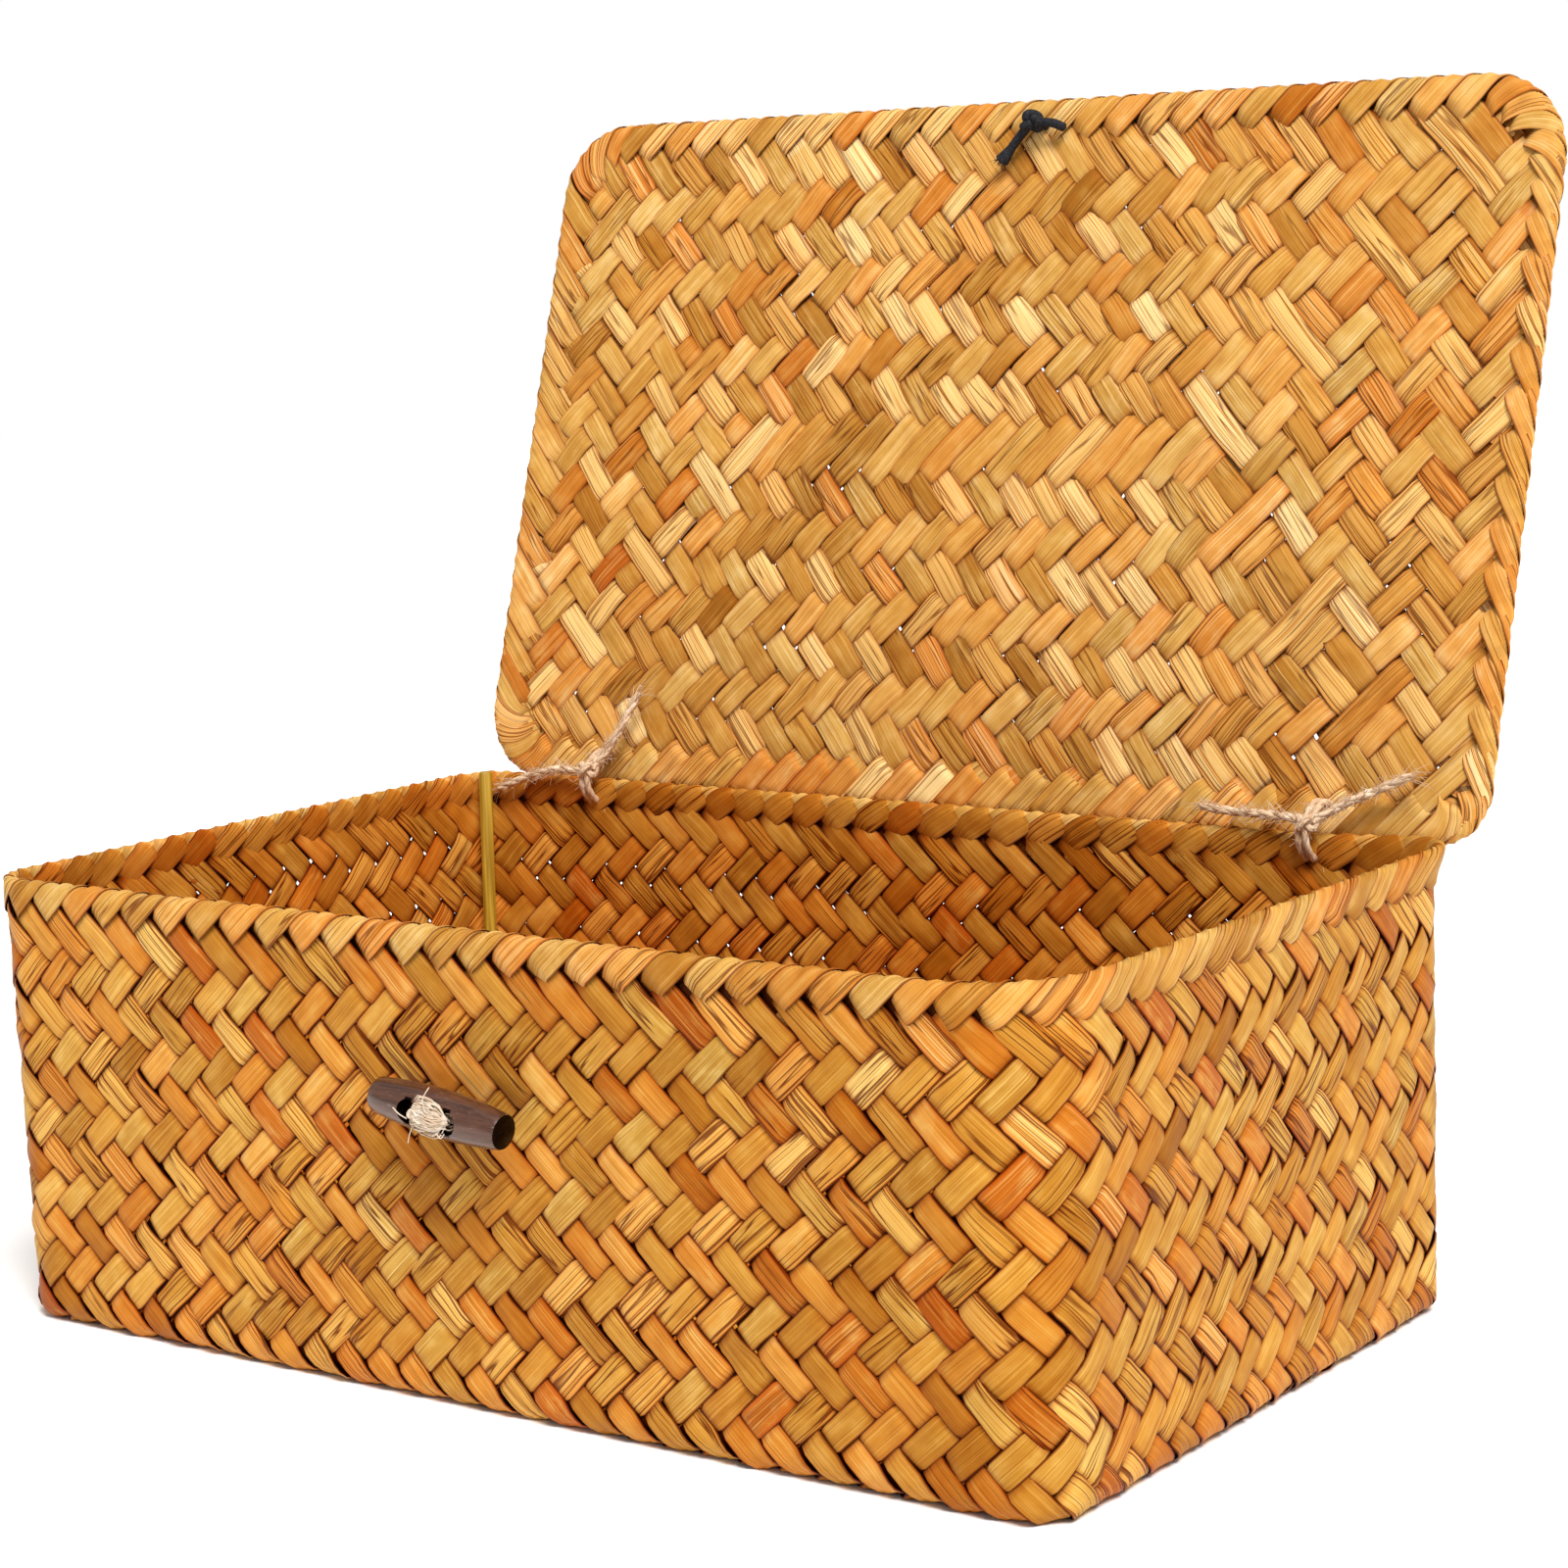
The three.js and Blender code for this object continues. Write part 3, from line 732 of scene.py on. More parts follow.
def wood_finish(name, dark, pale, gloss, wear):
    """Dark stained wood with its grain along the toggle."""
    sheen = {"specular_tint": "#ffe2d4", "coat_weight": wear, "coat_roughness": 0.28}
    finish = Finish(name, specular_ior_level=gloss, **sheen)
    grain = finish.noise(finish.stretched(finish.place(), (70, 900, 900)), detail=4, roughness=0.6)
    fleck = finish.noise(finish.stretched(finish.place(), (500, 2200, 2200)), detail=2)
    tint = finish.mix(grain.above(0.3, 2.4), dark, pale)
    tint = finish.mix(fleck.above(0.62, 5) * wear, tint, "#a58f84")
    finish.paint(base_color=tint, roughness=grain * 0.25 + 0.16)
    finish.bump(grain, 0.08 * MM, 0.35)
    return finish.material


# Painted shade: each weave's number sets how strong its painted shade is, and its two colours darken its
# outer faces and the faces turned into the box, so that the walls come out darker than the lid and their
# insides darker still.
WEAVE = strip_finish("seagrass_weave", 1.0, "#f3ebca", "#f2d8a0")
BORDER = strip_finish("seagrass_border", 0.75, "#ffffff", "#e6c690")
LID_WEAVE = strip_finish("seagrass_lid_weave", 0.55)
LID_BORDER = strip_finish("seagrass_lid_border", 0.6)
TWINE = twine_finish("jute_twine", "#b48a62", "#eccdaa", "#f8e2c6")
PALE_TWINE = twine_finish("jute_twine_fluffed", "#bb9c78", "#f0dcc4", "#fcf1e2")
CORD = cord_finish()
REED = reed_finish()
WOOD = wood_finish("dark_wood", "#2c160e", "#603c2c", 0.7, 0.4)
WOOD_ENDS = wood_finish("dark_wood_ends", "#040101", "#0c0403", 0.1, 0.0)


def dressed(piece, body, slot, material, *nodes):
    """Puts a finished piece on its body with its material, in place of its nodes."""
    piece.data.materials.clear()
    piece.data.materials.append(material)
    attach(piece, body)
    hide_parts(*nodes)
    return piece


# The walls

def wall_levels():
    """The wall's middle line from under the base, round the base edge and up to the rim."""
    levels = []
    bend = BASE_EDGE - SHEET_MIDDLE
    straight = BASE_EDGE - FOLD_FOOT
    under = straight - bend * math.pi / 2
    for step in np.arange(16, 0, -2):
        levels.append((under - step, BASE_EDGE + step, SHEET_MIDDLE, 0))
    for angle in np.radians(np.linspace(90, 0, 8)):
        inset = BASE_EDGE - bend * math.cos(angle)
        levels.append((straight - bend * angle, inset, BASE_EDGE - bend * math.sin(angle), 0))
    for height in np.arange(BASE_EDGE + 2, BOX_HEIGHT, 2):
        rise = min((height - BASE_EDGE) / (WALL_STRAIGHT_FROM - BASE_EDGE), 1)
        levels.append((height - FOLD_FOOT, SHEET_MIDDLE, height, rise))
    return [wall_level(*level) for level in levels]


def wall_level(way, inset, height, rise):
    width = BASE_WIDTH + rise * (RIM_WIDTH - 2 * BORDER_INSET - BASE_WIDTH)
    depth = BASE_DEPTH + rise * (RIM_DEPTH - 2 * BORDER_INSET - BASE_DEPTH)
    pairs = zip(BASE_CORNERS, RIM_CORNERS)
    corners = [low + rise * (high - BORDER_INSET - low) for low, high in pairs]
    return way, width, depth, corners, inset, height, (0, 0)


def make_walls(lean):
    """All the strips of the walls that lean one way: -1 up to the left, 1 up to the right."""
    sheet = Sheet(wall_levels())
    stray = wander(5, 0.9, sheet.round)
    pitch = sheet.round / WALL_STRIPS
    rows = np.arange(-1, 25)
    leans_left_over = np.where(rows % 4 < 2, 1, -1)
    over = -lean * leans_left_over
    plait = Plait(19, (1.6, 3), 0.05, 0.05) if lean > 0 else Plait(21, (2.1, 1.7), 0, 0.24)
    for strand in range(WALL_STRIPS):
        t = (strand - lean * rows / 2) * pitch
        places = np.column_stack([t, -(rows + 0.5) * WALL_ROW])
        plait.weave(sheet, places[::-1], over[::-1], stray, WALL_STRIP_WIDTH)
    side = "left" if lean < 0 else "right"
    return dressed(plait.made(f"wall_strips_{side}"), "box", "seagrass_weave", WEAVE, "woven_shell")


def inside_rounded(x, y, width, depth, corners, inset):
    """Whether points lie inside a rounded rectangle about the origin."""
    half_x = width / 2 - inset
    half_y = depth / 2 - inset
    inside = (abs(x) < half_x) & (abs(y) < half_y)
    for (side_x, side_y), corner in zip(CORNER_SIDES, corners):
        radius = max(corner - inset, LEAST_RADIUS)
        past_x = side_x * x - (half_x - radius)
        past_y = side_y * y - (half_y - radius)
        inside &= ~((past_x > 0) & (past_y > 0) & (np.hypot(past_x, past_y) > radius))
    return inside


def make_base():
    """The base: flat plait whose strips end between the two layers of the walls' strips."""
    plait = Plait(31)
    sheet = Flat(SHEET_MIDDLE)
    stray = wander(6, 0.7, BASE_WIDTH)
    reach = int(BASE_WIDTH / BASE_PITCH)
    steps = np.arange(-reach, reach + 1)
    for lean in (-1, 1):
        for strand in range(-reach, reach + 1):
            column = 2 * strand + lean * steps
            x = column * BASE_PITCH
            y = steps * BASE_PITCH
            keep = inside_rounded(x, y, BASE_WIDTH, BASE_DEPTH, BASE_CORNERS, 2 * BASE_EDGE)
            if keep.sum() < 2:
                continue
            over = lean * np.where(steps[keep] % 4 < 2, 1, -1)
            plait.weave(sheet, np.column_stack([x, y])[keep], over, stray, BASE_STRIP_WIDTH)
    return dressed(plait.made("base_strips"), "box", "seagrass_weave", WEAVE, "woven_shell")


# The folded borders

def fold_levels(width, depth, corners, middle, profile):
    """A border's sheet, from its profile of insets and heights, measured along the fold."""
    pairs = zip(distance_along(profile), profile)
    return [(way, width, depth, corners, inset, height, middle) for way, (inset, height) in pairs]


def hem(plait, sheet, anchors, slopes, feet, turn, sinks, stray, stray_from):
    """Folds side by side round a border, each lapped over the next one.

    A fold comes out from under the weave at its foot, turns over the edge and goes back under as far
    from the border's other end. Its anchor is its place round the border at its foot, its slope is how
    fast it moves on, and turn is how much further it goes where it bends over the edge.
    """
    rng = plait.rng
    end = sheet.way[-1]
    for anchor, slope, foot in zip(anchors, slopes, feet):
        way = np.linspace(foot - FOLD_TUCK, end - foot + FOLD_TUCK, FOLD_POINTS)
        from_foot = np.minimum(way, end - way) - foot
        raised = risen((from_foot - FOLD_OUT_FROM) / FOLD_OUT_OVER)
        over = risen((way - end / 2) / 7)
        t = anchor + rng.normal(0, 0.16) + slope * (way - foot) + turn * over
        shift_t, shift_w = stray(t, from_foot + foot - stray_from)
        hand = np.where(way < end / 2, 1, -1)
        sink = np.where(way < end / 2, *sinks)
        tones = np.tile(plait.strand_tone(), (len(way), 1))
        width = FOLD_WIDTH * rng.normal(1, 0.035) * (0.88 + 0.12 * risen((from_foot - 2) / 3))
        depth = sink * (1 - raised) + rng.normal(0, 0.04) * raised
        bent = way + hand * shift_w * (1 - raised)
        # The lift sets the painted shade where a fold goes under the weave; the inner half is marked as
        # turned into the box, for the painted shade of the inside.
        lift = np.clip(raised * 1.6 - 0.3, -1, 1)
        facing = np.where(way > end / 2 + 1.5, -1, 1)
        plait.fold(sheet, t + shift_t, bent, width, depth, 0.11 * raised, lift, tones, facing)


def bow(centre, radius, start, end, steps):
    """Points of an arc, as insets and heights."""
    angles = np.radians(np.linspace(start, end, steps))
    return [(centre[0] + radius * math.cos(a), centre[1] + radius * math.sin(a)) for a in angles]


# The rim's rear right corner is drawn out: how far each way, over what length and over what height
FLARE = (2.4, 0.6, 1.2)
FLARE_REACH = 30
FLARE_RISE = 7


def make_rim():
    """The rim: the strips that lean right go on over the top edge and come down inside."""
    half = 1.2
    middle = EDGE_GAP + half
    top = BOX_HEIGHT - 0.7 - half
    outer = [(EDGE_GAP, z) for z in np.arange(FOLD_FOOT - 4, top - 0.5, 1)]
    arc = bow((middle, top), half, 180, 0, BEND_POINTS)
    inner = [(middle + half, z) for z in np.arange(top - 1, FOLD_FOOT - 4, -1)]
    sheet = Sheet(fold_levels(RIM_WIDTH, RIM_DEPTH, RIM_CORNERS, (0, 0), outer + arc + inner))
    away = np.hypot(sheet.points[..., 0] - RIM_WIDTH / 2, sheet.points[..., 1] - RIM_DEPTH / 2)
    flare = risen(1 - away / FLARE_REACH) * risen((sheet.points[..., 2] - FOLD_FOOT) / FLARE_RISE)
    sheet.points += flare[..., None] * np.array(FLARE)
    pitch = sheet.round / WALL_STRIPS
    anchors = np.arange(WALL_STRIPS) * pitch
    slopes = np.full(WALL_STRIPS, pitch / 2 / WALL_ROW)
    feet = np.full(WALL_STRIPS, 2.0)
    stray = wander(5, 0.9, sheet.round)
    plait = Plait(41, (1.6, 2.6), 0, 0.12)
    hem(plait, sheet, anchors, slopes, feet, 0.24 * pitch, (1.8, 1.1), stray, 4)
    return dressed(plait.made("rim_folds"), "box", "seagrass_border", BORDER, "rim_fold")


# The lid's panel: rings of the same twill about a short ridge
RIDGE_X = -6.15
RIDGE_Y = -80.4
RIDGE_LEFT = -14
RIDGE_RIGHT = 15
PANEL_INSET = 2.6


def lid_strands():
    """Each strip of the lid's panel: which way it leans, its columns and rows and its points."""
    rows = np.arange(-19, 20)
    for lean in (-1, 1):
        for strand in range(-30, 31):
            columns = 2 * strand - lean * rows
            points = np.column_stack([RIDGE_X + columns * LID_PITCH_X, RIDGE_Y + rows * LID_PITCH_Y])
            yield lean, strand, columns, rows, points


def within_lid(points, inset):
    from_middle = points - np.array(LID_MIDDLE)
    return inside_rounded(*from_middle.T, LID_WIDTH, LID_DEPTH, LID_CORNERS, inset)


# The lid's border: how wide its sheet is, how far in from the edge its folds are placed, how far apart
# they usually are, and how far from the front, right, rear and left edge they go under the panel
LID_FOLD_REACH = 15
LID_FOLD_INSET = 9
LID_FOLD_PITCH = 8.6
LID_FEET = (11.4, 8.3, 12.1, 12.9)


def evened(places, whole):
    """The same places without near doubles, and with more where a corner leaves too wide a gap."""
    kept = [places[0]]
    for place in places[1:] + [places[0] + whole]:
        gap = place - kept[-1]
        if gap < LID_FOLD_PITCH * 0.6:
            continue
        count = max(1, round(gap / LID_FOLD_PITCH))
        kept += [kept[-1] + gap * (k + 1) / count for k in range(count)]
    return np.array(kept[:-1])


def lid_fold_places(sheet, inset, level):
    """Where the panel's strips run out under the border and turn over it, as places round the border."""
    ring = sheet.points[level, :, :2]
    places = []
    for *_, points in lid_strands():
        fine = eased(points, np.linspace(0, len(points) - 1, 800))
        inside = within_lid(fine, inset)
        if inside.sum() < 20:
            continue
        ends = np.flatnonzero(inside)[[0, -1]]
        for end, heading in zip(ends, (-1, 1)):
            step = fine[end] - fine[end - heading]
            nearest = np.argmin(np.linalg.norm(ring - fine[end], axis=1))
            along = ring[(nearest + 1) % ROUND_POINTS] - ring[nearest - 1]
            if np.dot(along, step) > 0:
                places.append(nearest * sheet.round / ROUND_POINTS)
    return evened(sorted(places), sheet.round)


def filled(anchors, slopes, feet, way, widest):
    """Folds with one more wherever two neighbours turn over the edge too far apart."""
    at_edge = anchors + slopes * (way - feet)
    order = np.argsort(at_edge)
    rows = np.column_stack([anchors, slopes, feet])[order]
    wide = np.flatnonzero(np.diff(at_edge[order]) > widest)
    between = (rows[wide] + rows[wide + 1]) / 2
    return np.insert(rows, wide + 1, between, axis=0).T


def make_lid_folds():
    """The lid's border, folded from its inner face round the edge to its outer face."""
    half = (LID_OUTER_FACE - LID_INNER_FACE) / 2 - 0.6
    centre = (EDGE_GAP + half, (LID_INNER_FACE + LID_OUTER_FACE) / 2)
    inner = [(x, centre[1] - half) for x in np.arange(LID_FOLD_REACH, centre[0] + 0.5, -1)]
    arc = bow(centre, half, 270, 90, BEND_POINTS)
    outer = [(x, centre[1] + half) for x in np.arange(centre[0] + 1, LID_FOLD_REACH, 1)]
    levels = fold_levels(LID_WIDTH, LID_DEPTH, LID_CORNERS, LID_MIDDLE, inner + arc + outer)
    sheet = Sheet(levels)
    plait = Plait(43, (2.2, 1.8), 0.1, 0.25)
    places = lid_fold_places(sheet, LID_FOLD_INSET, LID_FOLD_REACH - LID_FOLD_INSET)
    column = np.round(places / sheet.round * ROUND_POINTS).astype(int) % ROUND_POINTS
    step = np.roll(sheet.points[0], -4, axis=0) - np.roll(sheet.points[0], 4, axis=0)
    along = unit(step[:, :2])[column]
    share = along * along
    front, right, rear, left = LID_FEET
    inset = share[:, 0] * np.where(along[:, 0] > 0, front, rear)
    inset += share[:, 1] * np.where(along[:, 1] > 0, right, left)
    inset += 8 * share[:, 0] * share[:, 1]
    slopes = share @ np.array([LID_PITCH_X / LID_PITCH_Y, LID_PITCH_Y / LID_PITCH_X])
    feet = LID_FOLD_REACH - inset
    anchors = places + slopes * (LID_FOLD_INSET - inset)
    straight = risen((share[:, 1] - 0.97) / 0.03)
    slopes = slopes * (1 + 0.55 * straight * (along[:, 1] > 0))
    apart = np.median(np.diff(np.sort(places)))
    anchors, slopes, feet = filled(anchors, slopes, feet, sheet.way[-1] / 2, 1.3 * apart)
    stray = wander(8, 0.3, sheet.round)
    hem(plait, sheet, anchors, slopes, feet, 4.2, (1.5, 1.3), stray, 0)
    return dressed(plait.made("lid_folds", OPEN_LID), "lid", "seagrass_border", LID_BORDER, "lid_fold")


def make_lid_panel():
    plait = Plait(51, (1.8, 2.4), 0.06)
    sheet = Flat((LID_INNER_FACE + LID_OUTER_FACE) / 2)
    stray = wander(9, 0.9, LID_WIDTH)
    for lean, strand, columns, rows, points in lid_strands():
        keep = within_lid(points, PANEL_INSET)
        if keep.sum() < 4:
            continue
        plait.lined = 0.85 if lean < 0 and strand % 2 else 0.12
        ring = np.maximum(abs(rows), np.maximum(columns - RIDGE_RIGHT, RIDGE_LEFT - columns))
        over = (lean * np.where(ring % 4 > 1, -1, 1))[keep]
        plait.weave(sheet, points[keep], over, stray, LID_STRIP_WIDTH, LID_LIFT)
    return dressed(plait.made("lid_strips", OPEN_LID), "lid", "seagrass_weave", LID_WEAVE, "lid_panel")


# The corner posts

def turned(name, profile, segments, matrix):
    """A round piece drawn up from a disc, ring by ring, from heights and radii in millimetres."""
    (height, radius), *rings = profile
    bpy.ops.object.select_all(action="DESELECT")
    bpy.ops.mesh.primitive_circle_add(
        vertices=segments, radius=radius * MM, fill_type="NGON", location=(0, 0, height * MM)
    )
    piece = bpy.context.active_object
    piece.name = name
    bpy.ops.object.mode_set(mode="EDIT")
    for next_height, next_radius in rings:
        step = {"value": (0, 0, (next_height - height) * MM)}
        bpy.ops.mesh.extrude_region_move(TRANSFORM_OT_translate=step)
        scale = next_radius / radius
        bpy.ops.transform.resize(value=(scale, scale, 1), center_override=(0, 0, next_height * MM))
        height, radius = next_height, next_radius
    bpy.ops.mesh.select_all(action="SELECT")
    bpy.ops.mesh.normals_make_consistent(inside=False)
    bpy.ops.object.mode_set(mode="OBJECT")
    settled(piece, matrix @ piece.matrix_world)
    return piece


# How far under the rim's top the three posts end that the photograph doesn't show
POST_DROP = 6


def make_post(node):
    """A reed cut to the corner's height, swollen a little at its joints, with a hollow in its cut top."""
    places = np.array([v.co for v in frame["nodes"][node].data.vertices])
    foot = Vector(places[places[:, 2] < places[:, 2].min() + 0.4 * MM].mean(axis=0))
    top = Vector(places[places[:, 2] > places[:, 2].max() - 0.4 * MM].mean(axis=0))
    length = (top - foot).length / MM
    if node != "corner_post_rear_left":
        length -= POST_DROP
    joint = length * 0.44
    profile = [(0, 1.3), (0.3, 1.55), (joint - 2, 1.5), (joint - 0.5, 1.6), (joint, 1.5)]
    profile += [(joint + 0.8, 1.6), (joint + 3, 1.53), (length - 0.5, 1.58), (length, 1.3)]
    profile += [(length, 0.6), (length - 0.8, 0.45)]
    turn = (top - foot).to_track_quat("Z", "Y").to_matrix().to_4x4()
    post = turned(f"reed_{node}", profile, 20, Matrix.Translation(foot) @ turn)
    return dressed(post, "box", "reed", REED, node)


# The hinge ties: rings of twine through the rim and the lid, each with a knot and two loose ends
TIE_RADIUS = 6
TIE_KNOT_DEG = 155
TWINE_RADIUS = 0.95
TAILS = {
    "left_low": [
        [-3.9, -0.2, -0.4], [-9, 0.1, -0.4], [-14, 0.2, -1.5], [-19, 0.2, -3], [-24, 0.2, -4.8],
        [-28, 0.2, -6.2],
    ],
    "left_high": [[2.7, 1.6, 2.2], [4.6, 3, 5.4], [6.4, 4.6, 9], [7.6, 6.4, 12.6], [9.6, 8.6, 17.6]],
    "right_low": [[-3.9, 0.2, 0.8], [-9, 1, 1], [-14, 1.6, 0.9], [-20, 2.2, 1], [-26, 2.6, 1.4]],
    "right_high": [[3.2, 1.2, 1.5], [6.4, 2.6, 3.4], [10.4, 3.8, 5.4], [15.4, 5, 7.6], [21, 6.4, 10.2]],
}


def knot_path(width, depth, height, count=90):
    """The middle line of a drawn-up overhand knot that fills a box."""
    t = np.linspace(0, 2 * math.pi, count)
    x = np.sin(t) + 2 * np.sin(2 * t)
    y = np.cos(t) - 2 * np.cos(2 * t)
    return np.column_stack([x * width / 5.3, y * depth / 5.6, -np.sin(3 * t) * height / 2])


def flattened(piece):
    """Gives this piece a mesh of its own; nothing here presses it flat, as the shut lid would on the rim."""
    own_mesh(piece)


def tied(seed, name, node, path, radius, pitch, hairs, fray=0.0):
    """A stretch of a tie's three-ply twine."""
    skin = Skin(seed)
    skin.twine(path, radius, 3, pitch, hairs, fray)
    return dressed(skin.made(name), "box", "jute_twine", TWINE, node)


def make_tie(side):
    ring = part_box(f"hinge_tie_{side}")
    x = (ring[0].x + ring[1].x) / 2 / MM
    hinge = np.array([x, HINGE.y / MM, HINGE.z / MM])
    angle = math.radians(TIE_KNOT_DEG)
    knot = hinge + np.array([0, TIE_RADIUS * math.cos(angle), TIE_RADIUS * math.sin(angle)])
    turns = np.linspace(0, 1, 120)
    swing = angle + 2 * math.pi * 2 * turns
    coil = np.column_stack([(turns - 0.5) * 3.2, TIE_RADIUS * np.cos(swing), TIE_RADIUS * np.sin(swing)])
    tied(60, f"tie_{side}", f"hinge_tie_{side}", hinge + coil, TWINE_RADIUS * 0.85, 8, 40)
    path = knot + knot_path(3.8, 3, 2.4)
    flattened(tied(61, f"tie_knot_{side}", f"hinge_knot_{side}", path, TWINE_RADIUS * 0.8, 8, 50))
    for end in ("low", "high"):
        part = f"tail_{side}_{end}"
        path = smooth([[0, 0, 0]] + TAILS[f"{side}_{end}"], 60) + knot
        flattened(tied(62, f"tie_{part}", f"hinge_{part}", path, TWINE_RADIUS, 12, 190, 0.4))


# The toggle, drawn lying along X about its own middle, and the twine that carries it
TOGGLE_LENGTH = 31.5
TOGGLE_RADIUS = 4.6
TOGGLE_END_RADIUS = 3.5
HOLE_PLACE = 4.7
HOLE_RADIUS = 2.4
SWIVEL = frame_joint("toggle_swivel")
TOGGLE_TILT = math.radians(7)
TOGGLE_FRAME = Matrix.Translation(SWIVEL["pos_m"]) @ Matrix.Rotation(TOGGLE_TILT, 4, "Y")

FLUFF = 190
STRAY_FIBRES = [
    [(1.2, -5.4, 1.3), (0.7, -6, 4), (1.7, -5.4, 6.6)],
    [(-4, -4.8, -1), (-5.3, -5.6, -0.2), (-7.2, -5.2, 0.5)],
    [(-2.1, -5.2, -1.7), (-2.8, -5.2, -3.8), (-3.6, -4.6, -5.7)],
    [(4, -5.4, -1.9), (5.3, -5.8, -2.4), (6, -5.6, -1.4)],
]


def make_toggle():
    half = TOGGLE_LENGTH / 2
    profile = [(-half, TOGGLE_END_RADIUS - 0.9), (-half + 0.25, TOGGLE_END_RADIUS - 0.3)]
    for share in np.linspace(-1, 1, 17):
        radius = TOGGLE_END_RADIUS + (TOGGLE_RADIUS - TOGGLE_END_RADIUS) * (1 - share * share)
        profile.append((share * (half - 0.7), radius))
    profile += [(half - 0.2, TOGGLE_END_RADIUS - 0.2), (half, TOGGLE_END_RADIUS - 0.6)]
    turn = Matrix.Rotation(math.radians(90), 4, "Y")
    toggle = turned("toggle_barrel", profile, 48, turn)
    for hand in (-1, 1):
        bpy.ops.object.select_all(action="DESELECT")
        bpy.ops.mesh.primitive_cylinder_add(
            vertices=32, radius=HOLE_RADIUS * MM, depth=20 * MM,
            location=(hand * HOLE_PLACE * MM, 0, 0), rotation=(math.radians(90), 0, 0),
        )
        drill = bpy.context.active_object
        applied(toggle, "hole", "BOOLEAN", operation="DIFFERENCE", object=drill)
        bpy.data.objects.remove(drill)
    bevel = {"width": 0.22 * MM, "segments": 2, "limit_method": "ANGLE", "angle_limit": math.radians(50)}
    applied(toggle, "hole_edges", "BEVEL", **bevel)
    settled(toggle, TOGGLE_FRAME)
    dressed(toggle, "toggle", "dark_wood", WOOD, "toggle")
    paint_dark_parts(toggle)


def paint_dark_parts(toggle):
    """The flat ends and the insides of the holes are nearly black."""
    toggle.data.materials.append(WOOD_ENDS)
    back = TOGGLE_FRAME.inverted()
    for face in toggle.data.polygons:
        middle = back @ face.center / MM
        in_hole = math.hypot(abs(middle.x) - HOLE_PLACE, middle.z) < HOLE_RADIUS + 0.05
        if abs(middle.x) > TOGGLE_LENGTH / 2 - 0.3 or in_hole:
            face.material_index = 1


def make_toggle_twine():
    """Twine out through the wall, through both holes and back, fluffed out over the barrel's front."""
    reach = TOGGLE_RADIUS + 1.2
    knot_y = 12.4
    route = [
        (-0.9, knot_y, 0), (-0.9, 8.6, 0), (-2.2, reach, 0), (-HOLE_PLACE, reach - 1.8, 0),
        (-HOLE_PLACE + 0.6, 0, 0), (-HOLE_PLACE + 1.1, -reach + 1.8, 0), (-2.2, -reach + 1.1, 0.2),
        (0, -reach + 0.8, 0), (2.2, -reach + 1.3, -0.2), (HOLE_PLACE - 0.9, -reach + 3, 0),
        (HOLE_PLACE, 0, 0), (HOLE_PLACE, reach - 1.8, 0), (2.2, reach, 0), (0.9, 8.6, 0),
        (0.9, knot_y, 0),
    ]
    skin = Skin(71)
    skin.twine(smooth(route, 150), TWINE_RADIUS, hairs=20)
    rng = skin.rng
    for _ in range(FLUFF):
        height = rng.normal(0.3, 1.3)
        fall = height * height * 0.12
        lift = rng.uniform(0, 1) * max(0.2, 1 - abs(height) / 3) * 0.9
        stray = rng.normal(0, 0.45, 5)
        left = -HOLE_PLACE + rng.uniform(0.9, 1.9)
        right = HOLE_PLACE - rng.uniform(0.2, 1.7)
        line = [
            (left - 0.3, 1.2 - TOGGLE_RADIUS, stray[0]),
            (left + 1.2, fall - TOGGLE_RADIUS - 0.3 - lift, height + stray[1]),
            (stray[4], fall - TOGGLE_RADIUS - 0.5 - lift, height * 1.1 + stray[2]),
            (right - 1.2, fall - TOGGLE_RADIUS - 0.3 - lift, height + stray[3]),
            (right + 0.3, 1.2 - TOGGLE_RADIUS, stray[4]),
        ]
        tone = (0.5, rng.uniform(0.2, 1), 0.5, rng.uniform(0, 1))
        skin.tube(smooth(line, 12), rng.uniform(0.08, 0.16), 4, tone)
    for depth, size in ((1.1, 1.6), (1.5, 1.05), (0.9, 0.55)):
        turns = np.linspace(0.3, 5.6, 24)
        coil = np.column_stack([
            HOLE_PLACE + size * np.cos(turns), np.full(24, depth - TOGGLE_RADIUS + 0.5), size * np.sin(turns)
        ])
        # The low first tone values paint these coils dark, as painted shade deep in the hole.
        skin.tube(coil, 0.3, 6, (0.02, 0.5, 0.5, size / 3))
        skin.tube(coil + (0.1, -0.25, 0.15), 0.09, 4, (0.3, 0.7, 0.5, size / 3))
    for points in STRAY_FIBRES:
        skin.tube(smooth(points, 10), 0.12, 4, (0.5, 1, 0.5, 0.3))
    piece = skin.made("toggle_twine_strands", TOGGLE_FRAME)
    dressed(piece, "toggle_cord", "jute_twine", PALE_TWINE, "toggle_twine")
    skin = Skin(72)
    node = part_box("toggle_twine_knot")
    middle = np.array(node[0] + node[1]) / 2 / MM
    skin.twine(middle + knot_path(4.1, 3.6, 3.6), 0.85, pitch=4.5, hairs=20)
    piece = skin.made("toggle_twine_knotted_end")
    dressed(piece, "toggle_cord", "jute_twine", TWINE, "toggle_twine_knot")


# The cord that catches the toggle: its knot and ends on the lid's inner face, and its free loop
CORD_RADIUS = 1
CORD_KNOT = np.array([6.8, -154.7, -1.8])
CORD_SPACING = 3.2
CORD_ENDS = {
    "left": [[-2.2, 2.2, 0.3], [-4.1, 4.3, 0.6], [-5.9, 6.4, 1], [-7.8, 8.6, 1.2]],
    "right": [[3.9, 0.3, 0.2], [5.3, 0.4, 0.6], [6.7, 0.9, 0.9], [8.1, 1.5, 1]],
}
LOOP_LENGTH = 45
LOOP_WIDTH = 11


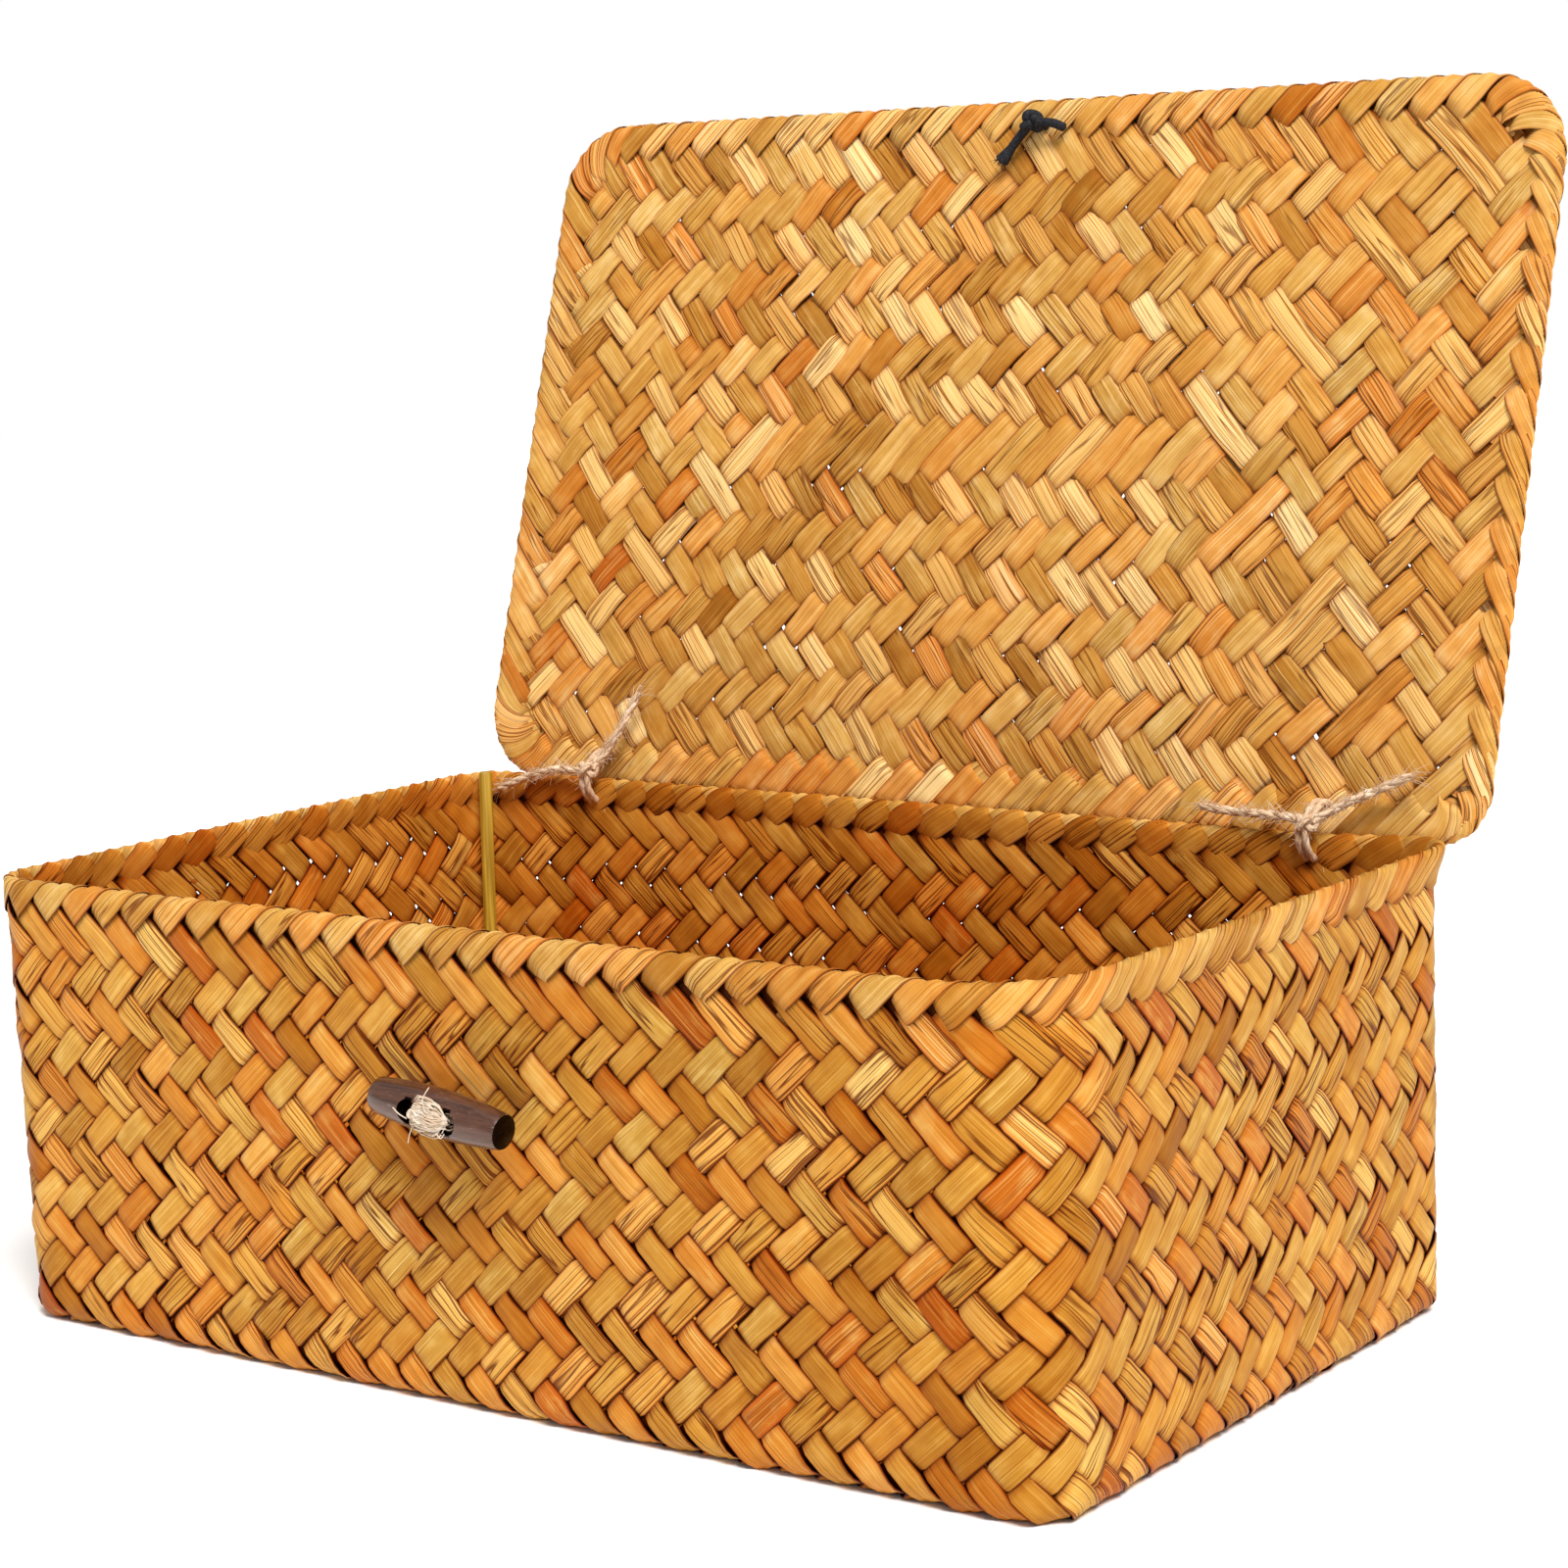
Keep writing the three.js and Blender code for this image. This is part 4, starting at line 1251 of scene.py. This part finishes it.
def make_cord_knot():
    skin = Skin(81)
    skin.tube(CORD_KNOT + knot_path(4.2, 3.4, 2.4), CORD_RADIUS, 10)
    for hand in (-1, 1):
        start = CORD_KNOT + np.array([hand * CORD_SPACING / 2, 0, 0])
        end = start + np.array([0, 0, 7.4])
        skin.tube(np.linspace(start, end, 8), CORD_RADIUS * 0.95, 10)
    piece = skin.made("cord_knot", OPEN_LID)
    dressed(piece, "lid", "black_cord", CORD, "closure_knot")
    flare = {"left": (1.5, 1.75), "right": (1.0, 1.05)}
    for side, steps in CORD_ENDS.items():
        skin = Skin(82)
        path = smooth([[0, 0, 0]] + steps, 30) + CORD_KNOT
        share = np.linspace(0, 1, 30)
        middle, end = flare[side]
        radius = CORD_RADIUS * (1.05 + (end - 1.05) * np.clip(share * 3 - 2, 0, 1))
        radius[-1] *= 0.7
        skin.tube(path, radius, 12)
        if side == "left":
            for _ in range(40):
                skin.hair(path, CORD_RADIUS * 1.3, 28, skin.rng.uniform(0.8, 1.8), 0.6)
        piece = skin.made(f"cord_end_{side}", OPEN_LID)
        dressed(piece, "lid", "black_cord", CORD, f"closure_end_{side}")


def make_loop():
    """The free loop, hanging straight down behind the open lid."""
    pivot = frame_joint("loop_swing")["pos_m"]
    half = LOOP_WIDTH / 2
    top = CORD_SPACING / 2
    side = [
        (top, 0), (top + 0.1, 0.09), (top + 0.3 * (half - top), 0.27),
        (top + 0.72 * (half - top), 0.5), (half, 0.73), (half * 0.8, 0.9), (half * 0.42, 0.98),
    ]
    left = [(-x, 0, -LOOP_LENGTH * share) for x, share in side]
    right = [(x, 0, -LOOP_LENGTH * share) for x, share in reversed(side)]
    start = np.array([CORD_KNOT[0], pivot[1] / MM, pivot[2] / MM])
    path = smooth(left + [(0, 0, -LOOP_LENGTH)] + right, 90) + start
    skin = Skin(83)
    skin.tube(path, CORD_RADIUS, 12)
    loop = skin.made("cord_loop")
    dressed(loop, "closure_loop", "black_cord", CORD, "closure_loop")
    path = path * MM


# The camera, the floor and the light

def aim_camera():
    ahead = Vector((
        -math.sin(CAMERA_YAW) * math.cos(CAMERA_PITCH),
        math.cos(CAMERA_YAW) * math.cos(CAMERA_PITCH),
        -math.sin(CAMERA_PITCH),
    ))
    level = Vector((math.cos(CAMERA_YAW), math.sin(CAMERA_YAW), 0))
    above = level.cross(ahead)
    right = math.cos(CAMERA_ROLL) * level + math.sin(CAMERA_ROLL) * above
    up = math.cos(CAMERA_ROLL) * above - math.sin(CAMERA_ROLL) * level
    camera = linked("camera", bpy.data.cameras.new("camera"))
    camera.data.lens = CAMERA_LENS
    camera.data.sensor_width = CAMERA_SENSOR
    camera.data.clip_start = 0.01
    turn = Matrix((right, up, -ahead)).transposed().to_4x4()
    camera.matrix_world = Matrix.Translation(CAMERA_PLACE) @ turn
    bpy.context.scene.camera = camera


def add_sun(name, towards, strength, softness):
    """A wide sun that shines from a direction."""
    sun = linked(name, bpy.data.lights.new(name, "SUN"))
    sun.data.energy = strength
    sun.data.angle = math.radians(softness)
    sun.rotation_euler = Vector(towards).to_track_quat("Z", "Y").to_euler()


def light_world(strength):
    """An even white world, white to the camera."""
    world = bpy.data.worlds.new("studio")
    world.use_nodes = True
    bpy.context.scene.world = world
    tree = world.node_tree
    background = tree.nodes["Background"]
    background.inputs["Color"].default_value = (1, 1, 1, 1)
    rays = tree.nodes.new("ShaderNodeLightPath")
    seen = tree.nodes.new("ShaderNodeMath")
    seen.operation = "MAXIMUM"
    tree.links.new(rays.outputs["Is Camera Ray"], seen.inputs[0])
    tree.links.new(rays.outputs["Is Transmission Ray"], seen.inputs[1])
    level = tree.nodes.new("ShaderNodeMapRange")
    level.inputs["To Min"].default_value = strength
    level.inputs["To Max"].default_value = 1
    tree.links.new(seen.outputs[0], level.inputs["Value"])
    tree.links.new(level.outputs[0], background.inputs["Strength"])


def add_floor():
    bpy.ops.mesh.primitive_circle_add(vertices=96, radius=4, fill_type="NGON", location=(0, 0, 0))
    floor = bpy.context.active_object
    floor.name = "floor"
    finish = Finish("floor", roughness=1.0)
    finish.paint(base_color="#fbfbfa")
    floor.data.materials.append(finish.material)


# The whole scene, camera and cord first

aim_camera()
make_loop()
make_cord_knot()
make_walls(-1)
make_walls(1)
make_base()
make_rim()
make_lid_panel()
make_lid_folds()
for corner in ("front_left", "front_right", "rear_right", "rear_left"):
    make_post(f"corner_post_{corner}")
make_tie("left")
make_tie("right")
make_toggle()
make_toggle_twine()
add_floor()
light_world(0.45)
add_sun("key", (0.66, -0.54, 1.2), 3.9, 25)
bpy.context.scene.view_settings.view_transform = "Standard"
